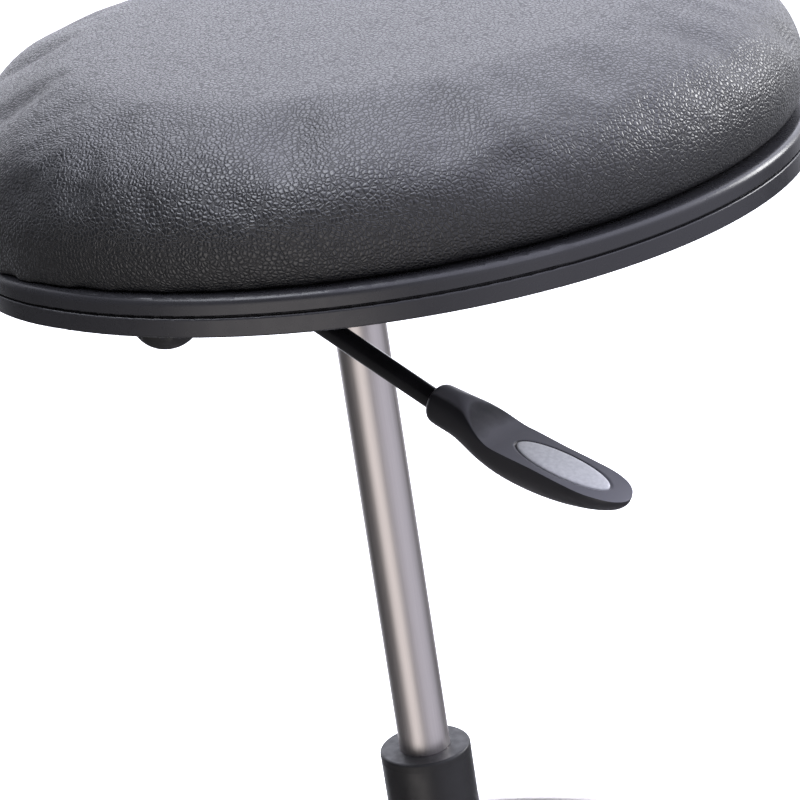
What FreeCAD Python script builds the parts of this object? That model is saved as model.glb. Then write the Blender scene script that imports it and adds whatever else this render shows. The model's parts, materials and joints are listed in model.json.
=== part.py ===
import FreeCAD, Part
import math
import os
from FreeCAD import Vector

# Drafting chair: a padded round seat and a backrest on a tall gas column, with a foot ring
# and a five-arm base on twin-wheel casters.
# Frame: millimetres, +Z up, origin on the floor under the column axis.
# The sitter faces -Y, and the sitter's right hand is on the -X side, where the height lever is.
# The seat is stored fully raised.

# ---------------------------------------------------------------- driving dimensions

FIT = 0.05                  # radial clearance of a running fit
CLEAR = 0.3                 # gap between pieces that slide past each other
PLAY = 0.2                  # radial clearance of a bolt in its hole
OVERCUT = 1.0               # how far a cutting solid runs past the face it cuts

# Casters
WHEEL_D = 60.0
WHEEL_W = 19.0
WHEEL_GAP = 14.0            # between the two wheels of one caster
AXLE_R = 4.0
HOOD_GAP = 1.8
HOOD_T = 3.0
TRAIL = 22.0                # from the swivel axis back to the axle
STEM_R = 5.5
STEM_LEN = 22.0
CASTER_HEADING = 40.0       # turn of each caster from its own arm, in degrees
HOOD_LIFT = 4.0             # lower edge of the hood above the axle
HOOD_WEB_DROP = 12.0        # how far the middle web reaches below the axle
STEM_BOSS_WALL = 3.0
STEM_FOOT = 6.0             # lower end of the stem above the axle
WHEEL_COVER_T = 2.0         # wheel material outside the end of the axle

# Five-arm base
ARM_COUNT = 5
BASE_R = 300.0              # column axis to caster axis
ARM_ROOT_W = 46.0
ARM_ROOT_H = 36.0
ARM_TIP_W = 27.0
ARM_TIP_H = 21.0
HUB_R = 35.0
HUB_H = 54.0
BOSS_R = 15.5
BOSS_ROUND = 3.0
HUB_ROUND = 4.0
ARM_ROOT_DROP = 6.0         # arm root below the top of the hub
ARM_TIP_RISE = 2.0
ARM_CROWN = 4.0             # extra height of an arm at half its length

# Gas column
OUTER_R = 25.0
OUTER_WALL = 2.0
OUTER_LEN = 376.0
OUTER_FOOT = 4.0            # how far the outer tube shows below the hub
TAPER_DROP = 0.8            # loss of radius along the hub taper
TUBE_R = 14.0
TUBE_WALL = 1.5
STROKE = 250.0
TRAVEL_SPARE = 10.0
BUSH_LEN = 74.0
BUSH_FLANGE_H = 5.0
ROD_R = 5.0
ROD_NECK = 1.0              # step of the rod under the piston and the clip
SHOULDER_W = 2.5
SHOULDER_H = 4.0
CLIP_T = 1.5
CLIP_W = 4.0
CLIP_DROP = 3.0
PISTON_H = 16.0
PISTON_GROOVE_Z = 6.0
PISTON_GROOVE_H = 4.0
GUIDE_H = 22.0
END_PLATE_T = 4.0
END_PLATE_RISE = 6.0        # end plate above the foot of the outer tube
RACE_R = 18.0
RACE_T = 4.0
BALL_R = 2.5
BALL_COUNT = 10
BUTTON_R = 4.0
BUTTON_RISE = 6.0
BUTTON_DOME = 3.0
BUTTON_SUNK = 9.0
VALVE_BORE = 14.0           # depth of the button's bore in the tube head
CONE_LEN = 37.0
CONE_DROP = 0.6

# Mechanism under the seat
SOCKET_R = 21.0
SOCKET_LEN = 35.0
MECH_HALF_W = 38.0
MECH_FRONT = 55.0
MECH_REAR = 62.0
MECH_H = 58.0
MECH_T = 2.5
FLANGE_T = 3.0
FLANGE_HALF_W = 85.0
FLANGE_FRONT = 80.0
FLANGE_REAR = 110.0
BOLT_R = 4.0
BOLT_X = 70.0
BOLT_FRONT = 60.0
BOLT_REAR = 90.0
BOLT_HEAD_R = 7.5
BOLT_HEAD_H = 5.0

# Height lever
LEVER_R = 5.5
LEVER_BEND_X = 30.0
LEVER_BEND_Y = 37.0
LEVER_DEPTH = 43.0          # rod centre line below the seat lip, inside the mechanism
LEVER_BEND_R = 18.0
LEVER_HEADING = 45.0        # plan angle forward from the sitter's right
LEVER_DROP = 23.7
LEVER_STRAIGHT = 107.7      # bend corner to the root of the handle
LEVER_TAIL = 18.0           # bend corner to the inner end of the rod
PIVOT_X = 24.0
PIVOT_DEPTH = 20.0
PIVOT_R = 3.0
FINGER_T = 4.0
FINGER_HALF_W = 8.0
EAR_T = 2.5
EAR_MARGIN = 3.5            # ear material round the pivot pin
PIN_HEAD = 2.0              # how far the pin shows past each ear
HANDLE_DROP = 15.8
HANDLE_LEN = 121.0
HANDLE_ROOT_R = 10.5
HANDLE_HALF_W = 14.6
HANDLE_BELLY = 20.5         # deepest point of the underside below the rod's line
HANDLE_GRASP = 26.0         # length of rod inside the handle
SCOOP_START = 48.0          # where the flat of the top face begins
SCOOP_RAMP = 20.0           # slope of the ramp down from the socket, in degrees
SCOOP_Z = 0.3
INSET_LEN = 56.0
INSET_W = 19.0
INSET_T = 1.8
INSET_PROUD = 0.5
INSET_MARGIN = 4.5          # from the start of the flat to the near end of the inset

# Upholstered pads: lip bands, boards and cushions
COVER_BAND = 9.2
COVER_WALL = 4.0
COVER_FLOOR = 3.0
GROOVE_H = 1.0
GROOVE_DEPTH = 2.5
EDGE_ROUND = 0.8
RIM_BAND = 9.0
RIM_W = 16.0
RIM_ROUND = 4.0
CUSHION_INSET = 3.0
CUSHION_TUCK = 8.0          # rounding of the cushion's lower edge
SKIN_T = 1.5

# Seat
SEAT_R = 225.0
SEAT_SHIFT = 19.0           # seat circle centre in front of the column
SEAT_CORNER_R = 140.0
SEAT_REAR_R = 420.0
SEAT_CORNER_ANGLE = 42.0
SEAT_BOARD_T = 12.0
SEAT_CUSHION_H = 66.0
SEAT_TOP_ROUND = 28.0
SCREW_R = 2.0
SCREW_COUNT = 6
SCREW_RING = 175.0
SCREW_HEAD_R = 4.0
SCREW_HEAD_H = 2.2
SCREW_HEAD_ROUND = 1.5
SCREW_COVER = 2.0           # board left above the end of a screw hole

# Backrest and its bar
BAR_W = 50.0
BAR_T = 8.0
BAR_DEPTH = 17.0            # bar centre line below the seat lip
BAR_GAP = 3.0               # from the mechanism's rear wall to the inner end of the bar
BAR_BEND_Y = 200.0
BAR_BEND_R = 50.0
RECLINE = 6.0
UPRIGHT_LEN = 375.0
CHANNEL_WALL = 4.0
CHANNEL_START = 66.0
CHANNEL_END = 150.0
BACK_HALF_W = 200.0
BACK_HALF_H = 155.0
BACK_SIDE_R = 420.0
BACK_TOP_R = 620.0
BACK_CORNER_R = 85.0
BACK_HEIGHT = 285.0         # pad centre along the upright
BACK_BOARD_T = 10.0
BACK_CUSHION_H = 54.0
BACK_TOP_ROUND = 24.0
SLEEVE_LEN = 90.0
SLEEVE_WALL = 3.0
BRACKET_HALF_W = 45.0
BRACKET_HALF_H = 60.0
BACK_SCREW_R = 3.0
BACK_SCREW_X = 37.0
BACK_SCREW_Z = 50.0
BACK_HEAD_R = 5.5
BACK_HEAD_H = 3.5
BACK_HEAD_ROUND = 2.0

# Clamp knobs
KNOB_R = 19.0
KNOB_H = 28.0
KNOB_DOME = 18.0            # rounding of the outer end, nearly a half ball
KNOB_SHOULDER = 3.0
KNOB_NECK_R = 9.0
KNOB_NECK = 12.0
DEPTH_KNOB_NECK = 17.0
STUD_R = 4.0
KNOB_LOBES = 6
FLUTE_R = 8.0
FLUTE_DEPTH = 2.5
FLUTE_LEN = 20.0
DEPTH_KNOB_Y = 99.0

# Foot ring
RING_R = 225.0
RING_TUBE_R = 9.0
RING_Z = 285.0
SPOKE_COUNT = 4
SPOKE_R = 6.0
SPOKE_RISE = 26.0
COLLAR_WALL = 4.0
COLLAR_H = 56.0
RING_BUSH_WALL = 4.0
RING_BUSH_LIP = 3.0
SPOKE_HEADING = 45.0

# ---------------------------------------------------------------- heights that follow

AXLE_Z = WHEEL_D / 2.0
HOOD_R = WHEEL_D / 2.0 + HOOD_GAP + HOOD_T
HOOD_TOP = AXLE_Z + HOOD_R + 1.0
BASE_Z = HOOD_TOP + CLEAR + 1.0
HUB_TOP = BASE_Z + HUB_H
OUTER_BOTTOM = BASE_Z - OUTER_FOOT
OUTER_TOP = OUTER_BOTTOM + OUTER_LEN
OUTER_BORE = OUTER_R - OUTER_WALL
BUSH_TOP = OUTER_TOP + BUSH_FLANGE_H
PLATE_Z = OUTER_BOTTOM + END_PLATE_RISE
RACE_Z = PLATE_Z + END_PLATE_T
UPPER_RACE_Z = RACE_Z + RACE_T + 2.0 * BALL_R
SHOULDER_Z = UPPER_RACE_Z + RACE_T
BEARING_TOP = SHOULDER_Z + SHOULDER_H
TUBE_BOTTOM = BEARING_TOP + STROKE + TRAVEL_SPARE
TUBE_BORE = TUBE_R - TUBE_WALL
GUIDE_Z = TUBE_BOTTOM + 2.0
PISTON_Z = GUIDE_Z + GUIDE_H + 3.0
SOCKET_Z = BUSH_TOP + STROKE + TRAVEL_SPARE
TUBE_TOP = SOCKET_Z + CONE_LEN
MECH_Z = SOCKET_Z + 2.0
LIP_Z = MECH_Z + MECH_H
FLANGE_Z = LIP_Z - FLANGE_T
BUTTON_TOP = TUBE_TOP + BUTTON_RISE
FINGER_Z = BUTTON_TOP + CLEAR
LEVER_Z = LIP_Z - LEVER_DEPTH
PIVOT_Z = LIP_Z - PIVOT_DEPTH
BAR_Z = LIP_Z - BAR_DEPTH
BAR_START = MECH_REAR + BAR_GAP
KNOB_FACE_Z = BAR_Z - BAR_T / 2.0 - CHANNEL_WALL - CLEAR
RING_BUSH_R = OUTER_R + RING_BUSH_WALL
COLLAR_R = RING_BUSH_R + COLLAR_WALL
SEAT_HOLE_DEPTH = COVER_FLOOR + SEAT_BOARD_T - SCREW_COVER
BACK_HOLE_DEPTH = COVER_FLOOR + BACK_BOARD_T - SCREW_COVER

PARTS = {}


# ---------------------------------------------------------------- basic shapes

def cylinder(radius, z0, z1, x=0.0, y=0.0):
    """Upright cylinder between two heights."""
    return Part.makeCylinder(radius, z1 - z0, Vector(x, y, z0))


def ring(outer, inner, z0, z1, x=0.0, y=0.0):
    """Upright round sleeve."""
    return cylinder(outer, z0, z1, x, y).cut(cylinder(inner, z0 - 1.0, z1 + 1.0, x, y))


def block(x0, x1, y0, y1, z0, z1):
    """Box between two corners."""
    return Part.makeBox(x1 - x0, y1 - y0, z1 - z0, Vector(x0, y0, z0))


def turned(profile):
    """Solid of revolution about Z from (radius, height) points."""
    points = [Vector(r, 0.0, z) for r, z in profile]
    face = Part.Face(Part.makePolygon(points + points[:1]))
    return face.revolve(Vector(0.0, 0.0, 0.0), Vector(0.0, 0.0, 1.0), 360.0)


def rounded_plate(half_x, y0, y1, z0, z1, radius):
    """Flat plate with four rounded corners."""
    plate = block(-half_x, half_x, y0, y1, z0, z1)
    return plate.makeFillet(radius, upright_edges(plate))


def upright_edges(shape):
    """The straight edges of a shape that run along Z."""
    found = []
    for edge in shape.Edges:
        direction = edge.tangentAt(edge.FirstParameter)
        if abs(direction.z) > 0.999:
            found.append(edge)
    return found


def level_edges(shape, z):
    """The edges of a shape that lie at one height."""
    box_ok = lambda e: abs(e.BoundBox.ZMin - z) < 1e-4 and abs(e.BoundBox.ZMax - z) < 1e-4
    return [edge for edge in shape.Edges if box_ok(edge)]


def hex_bolt(radius, length, head_r, head_h, x, y, z):
    """Bolt with its head below height z and its shank above."""
    corners = []
    for i in range(7):
        angle = math.radians(60.0 * i)
        corners.append(Vector(x + head_r * math.cos(angle), y + head_r * math.sin(angle), z - head_h))
    head = Part.Face(Part.makePolygon(corners)).extrude(Vector(0.0, 0.0, head_h))
    return head.fuse(cylinder(radius, z, z + length, x, y)).removeSplitter()


def turn_z(shape, degrees):
    """A copy turned about the column axis."""
    copy = shape.copy()
    copy.rotate(Vector(0.0, 0.0, 0.0), Vector(0.0, 0.0, 1.0), degrees)
    return copy


def add(name, shape):
    """Keep one finished piece under its node name."""
    PARTS[name] = shape


# ---------------------------------------------------------------- outlines of the pads

def seat_outline(inset, z):
    """Seat plan: a circle whose rear is flattened by two corner arcs and one wide arc."""
    turn = math.radians(SEAT_CORNER_ANGLE)
    centre = Vector(0.0, -SEAT_SHIFT, z)
    reach = SEAT_R - SEAT_CORNER_R
    corner = Vector(reach * math.sin(turn), -SEAT_SHIFT + reach * math.cos(turn), z)
    rear_gap = SEAT_REAR_R - SEAT_CORNER_R
    rear_y = corner.y - math.sqrt(rear_gap ** 2 - corner.x ** 2)
    rear = Vector(0.0, rear_y, z)
    side_dir = Vector(math.sin(turn), math.cos(turn), 0.0)
    rear_dir = (corner - rear).normalize()
    mid_dir = (side_dir + rear_dir).normalize()
    side = centre + side_dir * (SEAT_R - inset)
    mid = corner + mid_dir * (SEAT_CORNER_R - inset)
    end = rear + rear_dir * (SEAT_REAR_R - inset)
    front = Vector(0.0, -SEAT_SHIFT - SEAT_R + inset, z)
    top = Vector(0.0, rear_y + SEAT_REAR_R - inset, z)
    flip = lambda p: Vector(-p.x, p.y, p.z)
    arcs = [
        Part.Arc(flip(side), front, side),
        Part.Arc(side, mid, end),
        Part.Arc(end, top, flip(end)),
        Part.Arc(flip(end), flip(mid), flip(side)),
    ]
    return Part.Wire([arc.toShape() for arc in arcs])


def back_outline(inset, z):
    """Backrest outline: four wide arcs joined by four corner arcs."""
    side_x = BACK_HALF_W - BACK_SIDE_R
    top_y = BACK_HALF_H - BACK_TOP_R
    side_reach = BACK_SIDE_R - BACK_CORNER_R
    top_reach = BACK_TOP_R - BACK_CORNER_R
    span = math.hypot(side_x, top_y)
    along = (side_reach ** 2 - top_reach ** 2 + span ** 2) / (2.0 * span)
    across = math.sqrt(side_reach ** 2 - along ** 2)
    to_top = Vector(-side_x / span, top_y / span, 0.0)
    normal = Vector(-to_top.y, to_top.x, 0.0)
    corner = Vector(side_x, 0.0, 0.0) + to_top * along + normal * across
    side_dir = (corner - Vector(side_x, 0.0, 0.0)).normalize()
    top_dir = (corner - Vector(0.0, top_y, 0.0)).normalize()
    mid_dir = (side_dir + top_dir).normalize()
    side = Vector(side_x, 0.0, 0.0) + side_dir * (BACK_SIDE_R - inset)
    mid = corner + mid_dir * (BACK_CORNER_R - inset)
    top = Vector(0.0, top_y, 0.0) + top_dir * (BACK_TOP_R - inset)
    place = lambda p, sx, sy: Vector(sx * p.x, sy * p.y, z)
    right = Vector(BACK_HALF_W - inset, 0.0, z)
    upper = Vector(0.0, BACK_HALF_H - inset, z)
    left = Vector(-right.x, 0.0, z)
    lower = Vector(0.0, -upper.y, z)
    arcs = [
        Part.Arc(place(side, 1, -1), right, place(side, 1, 1)),
        Part.Arc(place(side, 1, 1), place(mid, 1, 1), place(top, 1, 1)),
        Part.Arc(place(top, 1, 1), upper, place(top, -1, 1)),
        Part.Arc(place(top, -1, 1), place(mid, -1, 1), place(side, -1, 1)),
        Part.Arc(place(side, -1, 1), left, place(side, -1, -1)),
        Part.Arc(place(side, -1, -1), place(mid, -1, -1), place(top, -1, -1)),
        Part.Arc(place(top, -1, -1), lower, place(top, 1, -1)),
        Part.Arc(place(top, 1, -1), place(mid, 1, -1), place(side, 1, -1)),
    ]
    return Part.Wire([arc.toShape() for arc in arcs])


def slab(outline, inset, z0, z1):
    """Flat solid with a pad's outline, set in from its edge."""
    return Part.Face(outline(inset, z0)).extrude(Vector(0.0, 0.0, z1 - z0))


def pad_cover(outline):
    """Plastic tray: the lower band of the lip, with a floor under the board."""
    tray = slab(outline, 0.0, 0.0, COVER_BAND)
    tray = tray.makeFillet(EDGE_ROUND, level_edges(tray, 0.0) + level_edges(tray, COVER_BAND))
    return tray.cut(slab(outline, COVER_WALL, COVER_FLOOR, COVER_BAND + 1.0))


def pad_rim(outline):
    """Plastic ring: the rounded upper band of the lip, standing on the tray across a groove."""
    base = COVER_BAND
    band = slab(outline, 0.0, base + GROOVE_H, base + GROOVE_H + RIM_BAND)
    band = band.makeFillet(RIM_ROUND, level_edges(band, base + GROOVE_H + RIM_BAND))
    band = band.makeFillet(EDGE_ROUND, level_edges(band, base + GROOVE_H))
    foot = slab(outline, GROOVE_DEPTH, base, base + GROOVE_H)
    solid = band.fuse(foot)
    return solid.cut(slab(outline, RIM_W, base - 1.0, base + GROOVE_H + RIM_BAND + 1.0))


def pad_board(outline, thickness):
    """Plywood board that the cushion and the frame are fixed to."""
    return slab(outline, RIM_W + CLEAR, COVER_FLOOR, COVER_FLOOR + thickness)


def pad_body(outline, skin, height, top_round):
    """Rounded block above the rim, set in from the cushion's surface by the thickness of its skin."""
    z0 = COVER_BAND + GROOVE_H + RIM_BAND + CLEAR + skin
    z1 = z0 + height - 2.0 * skin
    body = slab(outline, CUSHION_INSET + skin, z0, z1)
    body = body.makeFillet(CUSHION_TUCK - skin, level_edges(body, z0))
    return body.makeFillet(top_round - skin, level_edges(body, z1))


def pad_plug(outline, board_t):
    """Part of the foam that stands on the board, inside the rim."""
    plug_top = COVER_BAND + GROOVE_H + RIM_BAND + CUSHION_TUCK
    return slab(outline, RIM_W + CLEAR, COVER_FLOOR + board_t, plug_top)


def pad_foam(outline, board_t, height, top_round):
    """Foam core: the plug inside the rim and the soft body above it."""
    return pad_body(outline, SKIN_T, height, top_round).fuse(pad_plug(outline, board_t)).removeSplitter()


def pad_skin(outline, board_t, height, top_round):
    """Upholstery skin: wraps the foam body and stops where the plug goes down to the board."""
    skin = pad_body(outline, 0.0, height, top_round).cut(pad_body(outline, SKIN_T, height, top_round))
    return skin.cut(pad_plug(outline, board_t))


# ---------------------------------------------------------------- five-arm base

def arm_section(x, width, height, z_top):
    """Rounded rectangle across an arm, at one distance from the column."""
    radius = 0.28 * height
    y = width / 2.0
    z0 = z_top - height
    frame = block(x - 0.5, x + 0.5, -y, y, z0, z_top)
    along = [e for e in frame.Edges if abs(e.tangentAt(e.FirstParameter).x) > 0.999]
    frame = frame.makeFillet(radius, along)
    for face in frame.Faces:
        box = face.BoundBox
        if abs(box.XMin - (x + 0.5)) < 1e-4:
            return face.OuterWire
    return None


def base_arm():
    """One arm along +X, from the hub to the caster boss."""
    tip_top = BASE_Z + ARM_TIP_H + ARM_TIP_RISE
    root_top = HUB_TOP - ARM_ROOT_DROP
    sections = [
        arm_section(HUB_R * 0.5, ARM_ROOT_W, ARM_ROOT_H, root_top),
        arm_section(BASE_R * 0.5, 0.5 * (ARM_ROOT_W + ARM_TIP_W), 0.5 * (ARM_ROOT_H + ARM_TIP_H),
                    0.5 * (root_top + tip_top) + ARM_CROWN),
        arm_section(BASE_R, ARM_TIP_W, ARM_TIP_H, tip_top),
    ]
    arm = Part.makeLoft(sections, True, False)
    boss_top = tip_top + ARM_TIP_RISE
    boss = cylinder(BOSS_R, BASE_Z, boss_top, BASE_R)
    boss = boss.makeFillet(BOSS_ROUND, level_edges(boss, boss_top))
    return arm.fuse(boss)


def socket_bore():
    """Blind hole for one caster stem."""
    return cylinder(STEM_R + FIT, BASE_Z - 1.0, BASE_Z + STEM_LEN + 1.0, BASE_R)


def make_base():
    """Star base with a tapered hub bore and one blind bore for each caster stem."""
    hub = cylinder(HUB_R, BASE_Z, HUB_TOP)
    hub = hub.makeFillet(HUB_ROUND, level_edges(hub, HUB_TOP))
    star = hub
    bores = []
    step = 360.0 / ARM_COUNT
    for i in range(ARM_COUNT):
        star = star.fuse(turn_z(base_arm(), step * i + 90.0))
        bores.append(turn_z(socket_bore(), step * i + 90.0))
    star = star.cut(Part.makeCompound(bores))
    taper = Part.makeCone(OUTER_R - TAPER_DROP, OUTER_R, HUB_H, Vector(0.0, 0.0, BASE_Z))
    add("base_star", star.cut(taper))


# ---------------------------------------------------------------- casters

def caster_hood():
    """Caster body: a boss for the stem, a middle web and a curved hood over both wheels."""
    half = WHEEL_GAP / 2.0 + WHEEL_W
    shell = Part.makeCylinder(HOOD_R, 2.0 * half, Vector(TRAIL, -half, AXLE_Z), Vector(0.0, 1.0, 0.0))
    inner = Part.makeCylinder(HOOD_R - HOOD_T, 2.0 * half + 2.0, Vector(TRAIL, -half - 1.0, AXLE_Z),
                              Vector(0.0, 1.0, 0.0))
    shell = shell.cut(inner)
    keep = block(-HOOD_R, HOOD_R + TRAIL, -half - 1.0, half + 1.0, AXLE_Z + HOOD_LIFT, HOOD_TOP + 1.0)
    shell = shell.common(keep)
    web_y = WHEEL_GAP / 2.0 - 1.5
    web = Part.makeCylinder(HOOD_R - 1.0, 2.0 * web_y, Vector(TRAIL, -web_y, AXLE_Z), Vector(0.0, 1.0, 0.0))
    web = web.common(block(-HOOD_R, HOOD_R + TRAIL, -half, half, AXLE_Z - HOOD_WEB_DROP, HOOD_TOP))
    boss = cylinder(STEM_R + STEM_BOSS_WALL, AXLE_Z, HOOD_TOP)
    neck = block(0.0, TRAIL, -web_y, web_y, AXLE_Z - STEM_FOOT, HOOD_TOP - STEM_FOOT)
    room = wheel_room(WHEEL_GAP / 2.0 - 1.0, half + 1.0)
    boss = boss.cut(room)
    body = shell.fuse([web, boss, neck])
    body = body.cut(cylinder(STEM_R, AXLE_Z + STEM_FOOT, HOOD_TOP + OVERCUT))
    axle_hole = Part.makeCylinder(AXLE_R, 4.0 * half, Vector(TRAIL, -2.0 * half, AXLE_Z),
                                  Vector(0.0, 1.0, 0.0))
    return body.cut(axle_hole).removeSplitter()


def wheel_room(y0, y1):
    """Space that a caster's two wheels turn in."""
    radius = WHEEL_D / 2.0 + HOOD_GAP
    width = y1 - y0
    left = Part.makeCylinder(radius, width, Vector(TRAIL, y0, AXLE_Z), Vector(0.0, 1.0, 0.0))
    right = Part.makeCylinder(radius, width, Vector(TRAIL, -y1, AXLE_Z), Vector(0.0, 1.0, 0.0))
    return left.fuse(right)


def caster_pins():
    """Stem and axle of one caster, as two separate steel pins."""
    half = WHEEL_GAP / 2.0 + WHEEL_W - WHEEL_COVER_T
    top = BASE_Z + STEM_LEN - 0.5
    stem = cylinder(STEM_R, AXLE_Z + STEM_FOOT, top)
    stem = stem.makeChamfer(1.0, level_edges(stem, top))
    axle = Part.makeCylinder(AXLE_R, 2.0 * half, Vector(TRAIL, -half, AXLE_Z), Vector(0.0, 1.0, 0.0))
    return Part.makeCompound([stem, axle])


def caster_wheel(side):
    """One wheel: a rounded tread, a recessed disc and a hub with a blind bore."""
    r = WHEEL_D / 2.0
    w = WHEEL_W
    axle_end = w - WHEEL_COVER_T + 0.5
    profile = [
        (AXLE_R + FIT, 0.0), (r * 0.34, 0.0), (r * 0.34, 2.0), (r * 0.78, 2.0), (r * 0.78, 0.0),
        (r - 2.0, 0.0), (r, 2.5), (r, w - 5.0), (r - 4.0, w - 1.2), (r * 0.8, w),
        (r * 0.72, w - 2.2), (r * 0.3, w - 1.4), (0.0, w - 1.0), (0.0, axle_end),
        (AXLE_R + FIT, axle_end),
    ]
    wheel = turned(profile)
    wheel.rotate(Vector(0.0, 0.0, 0.0), Vector(1.0, 0.0, 0.0), -90.0 * side)
    wheel.translate(Vector(TRAIL, side * WHEEL_GAP / 2.0, AXLE_Z))
    return wheel


def make_casters():
    """Five twin-wheel casters, each turned on its stem."""
    step = 360.0 / ARM_COUNT
    for i in range(ARM_COUNT):
        pieces = {
            "hood": caster_hood(),
            "pins": caster_pins(),
            "wheel_left": caster_wheel(1),
            "wheel_right": caster_wheel(-1),
        }
        for piece, shape in pieces.items():
            placed = turn_z(shape, CASTER_HEADING)
            placed.translate(Vector(BASE_R, 0.0, 0.0))
            add("caster_%d_%s" % (i + 1, piece), turn_z(placed, step * i + 90.0))


# ---------------------------------------------------------------- gas column

def make_column():
    """Outer tube, bush, thrust bearing, piston rod and pressure tube."""
    profile = [
        (OUTER_R - TAPER_DROP * (1.0 + OUTER_FOOT / HUB_H), OUTER_BOTTOM), (OUTER_R, HUB_TOP),
        (OUTER_R, OUTER_TOP), (OUTER_BORE, OUTER_TOP), (OUTER_BORE, HUB_TOP),
        (OUTER_BORE - TAPER_DROP, RACE_Z), (ROD_R + 1.0, RACE_Z), (ROD_R + 1.0, PLATE_Z),
        (OUTER_BORE - TAPER_DROP - 1.0, PLATE_Z), (OUTER_BORE - TAPER_DROP - 1.0, OUTER_BOTTOM),
    ]
    add("column_outer_tube", turned(profile))
    bush = ring(OUTER_BORE, TUBE_R + FIT, OUTER_TOP - BUSH_LEN, OUTER_TOP)
    flange = ring(OUTER_R, TUBE_R + FIT, OUTER_TOP, BUSH_TOP)
    flange = flange.makeFillet(1.5, [e for e in level_edges(flange, BUSH_TOP) if e.Length > 6.2 * OUTER_R])
    add("column_bushing", bush.fuse(flange).removeSplitter())
    add("bearing_lower_race", ring(RACE_R, ROD_R + 1.0, RACE_Z, RACE_Z + RACE_T))
    add("bearing_upper_race", ring(RACE_R, ROD_R, UPPER_RACE_Z, SHOULDER_Z))
    balls = []
    for i in range(BALL_COUNT):
        angle = 2.0 * math.pi * i / BALL_COUNT
        reach = 0.5 * (RACE_R + ROD_R)
        centre = Vector(reach * math.cos(angle), reach * math.sin(angle), RACE_Z + RACE_T + BALL_R)
        balls.append(Part.makeSphere(BALL_R - FIT, centre))
    add("bearing_balls", Part.makeCompound(balls))
    clip_z = PLATE_Z - CLIP_DROP
    neck = ROD_R - ROD_NECK
    clip_top = clip_z + CLIP_T
    rod_top = PISTON_Z + PISTON_H + 2.0
    rod = turned([
        (0.0, clip_z - 2.0), (ROD_R, clip_z - 2.0), (ROD_R, clip_z), (neck, clip_z),
        (neck, clip_top), (ROD_R, clip_top), (ROD_R, SHOULDER_Z), (ROD_R + SHOULDER_W, SHOULDER_Z),
        (ROD_R + SHOULDER_W, BEARING_TOP), (ROD_R, BEARING_TOP), (ROD_R, PISTON_Z), (neck, PISTON_Z),
        (neck, rod_top), (0.0, rod_top),
    ])
    add("piston_rod", rod)
    add("rod_clip", ring(ROD_R + CLIP_W, neck, clip_z, clip_top))
    head = ring(TUBE_BORE - FIT, neck, PISTON_Z, PISTON_Z + PISTON_H)
    groove_z = PISTON_Z + PISTON_GROOVE_Z
    groove = ring(TUBE_BORE + 1.0, TUBE_BORE - 2.0, groove_z, groove_z + PISTON_GROOVE_H)
    add("piston_head", head.cut(groove))
    add("rod_guide", ring(TUBE_BORE, ROD_R + FIT, GUIDE_Z, GUIDE_Z + GUIDE_H))
    tube = turned([
        (TUBE_R, TUBE_BOTTOM), (TUBE_R, SOCKET_Z), (TUBE_R - CONE_DROP, TUBE_TOP),
        (BUTTON_R + FIT, TUBE_TOP), (BUTTON_R + FIT, TUBE_TOP - VALVE_BORE),
        (TUBE_BORE - 2.0, TUBE_TOP - VALVE_BORE),
        (TUBE_BORE, TUBE_TOP - VALVE_BORE - 4.0), (TUBE_BORE, TUBE_BOTTOM),
    ])
    add("pressure_tube", tube)
    pin = cylinder(BUTTON_R, TUBE_TOP - BUTTON_SUNK, BUTTON_TOP)
    add("release_button", pin.makeFillet(BUTTON_DOME, level_edges(pin, BUTTON_TOP)))


# ---------------------------------------------------------------- mechanism under the seat

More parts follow.
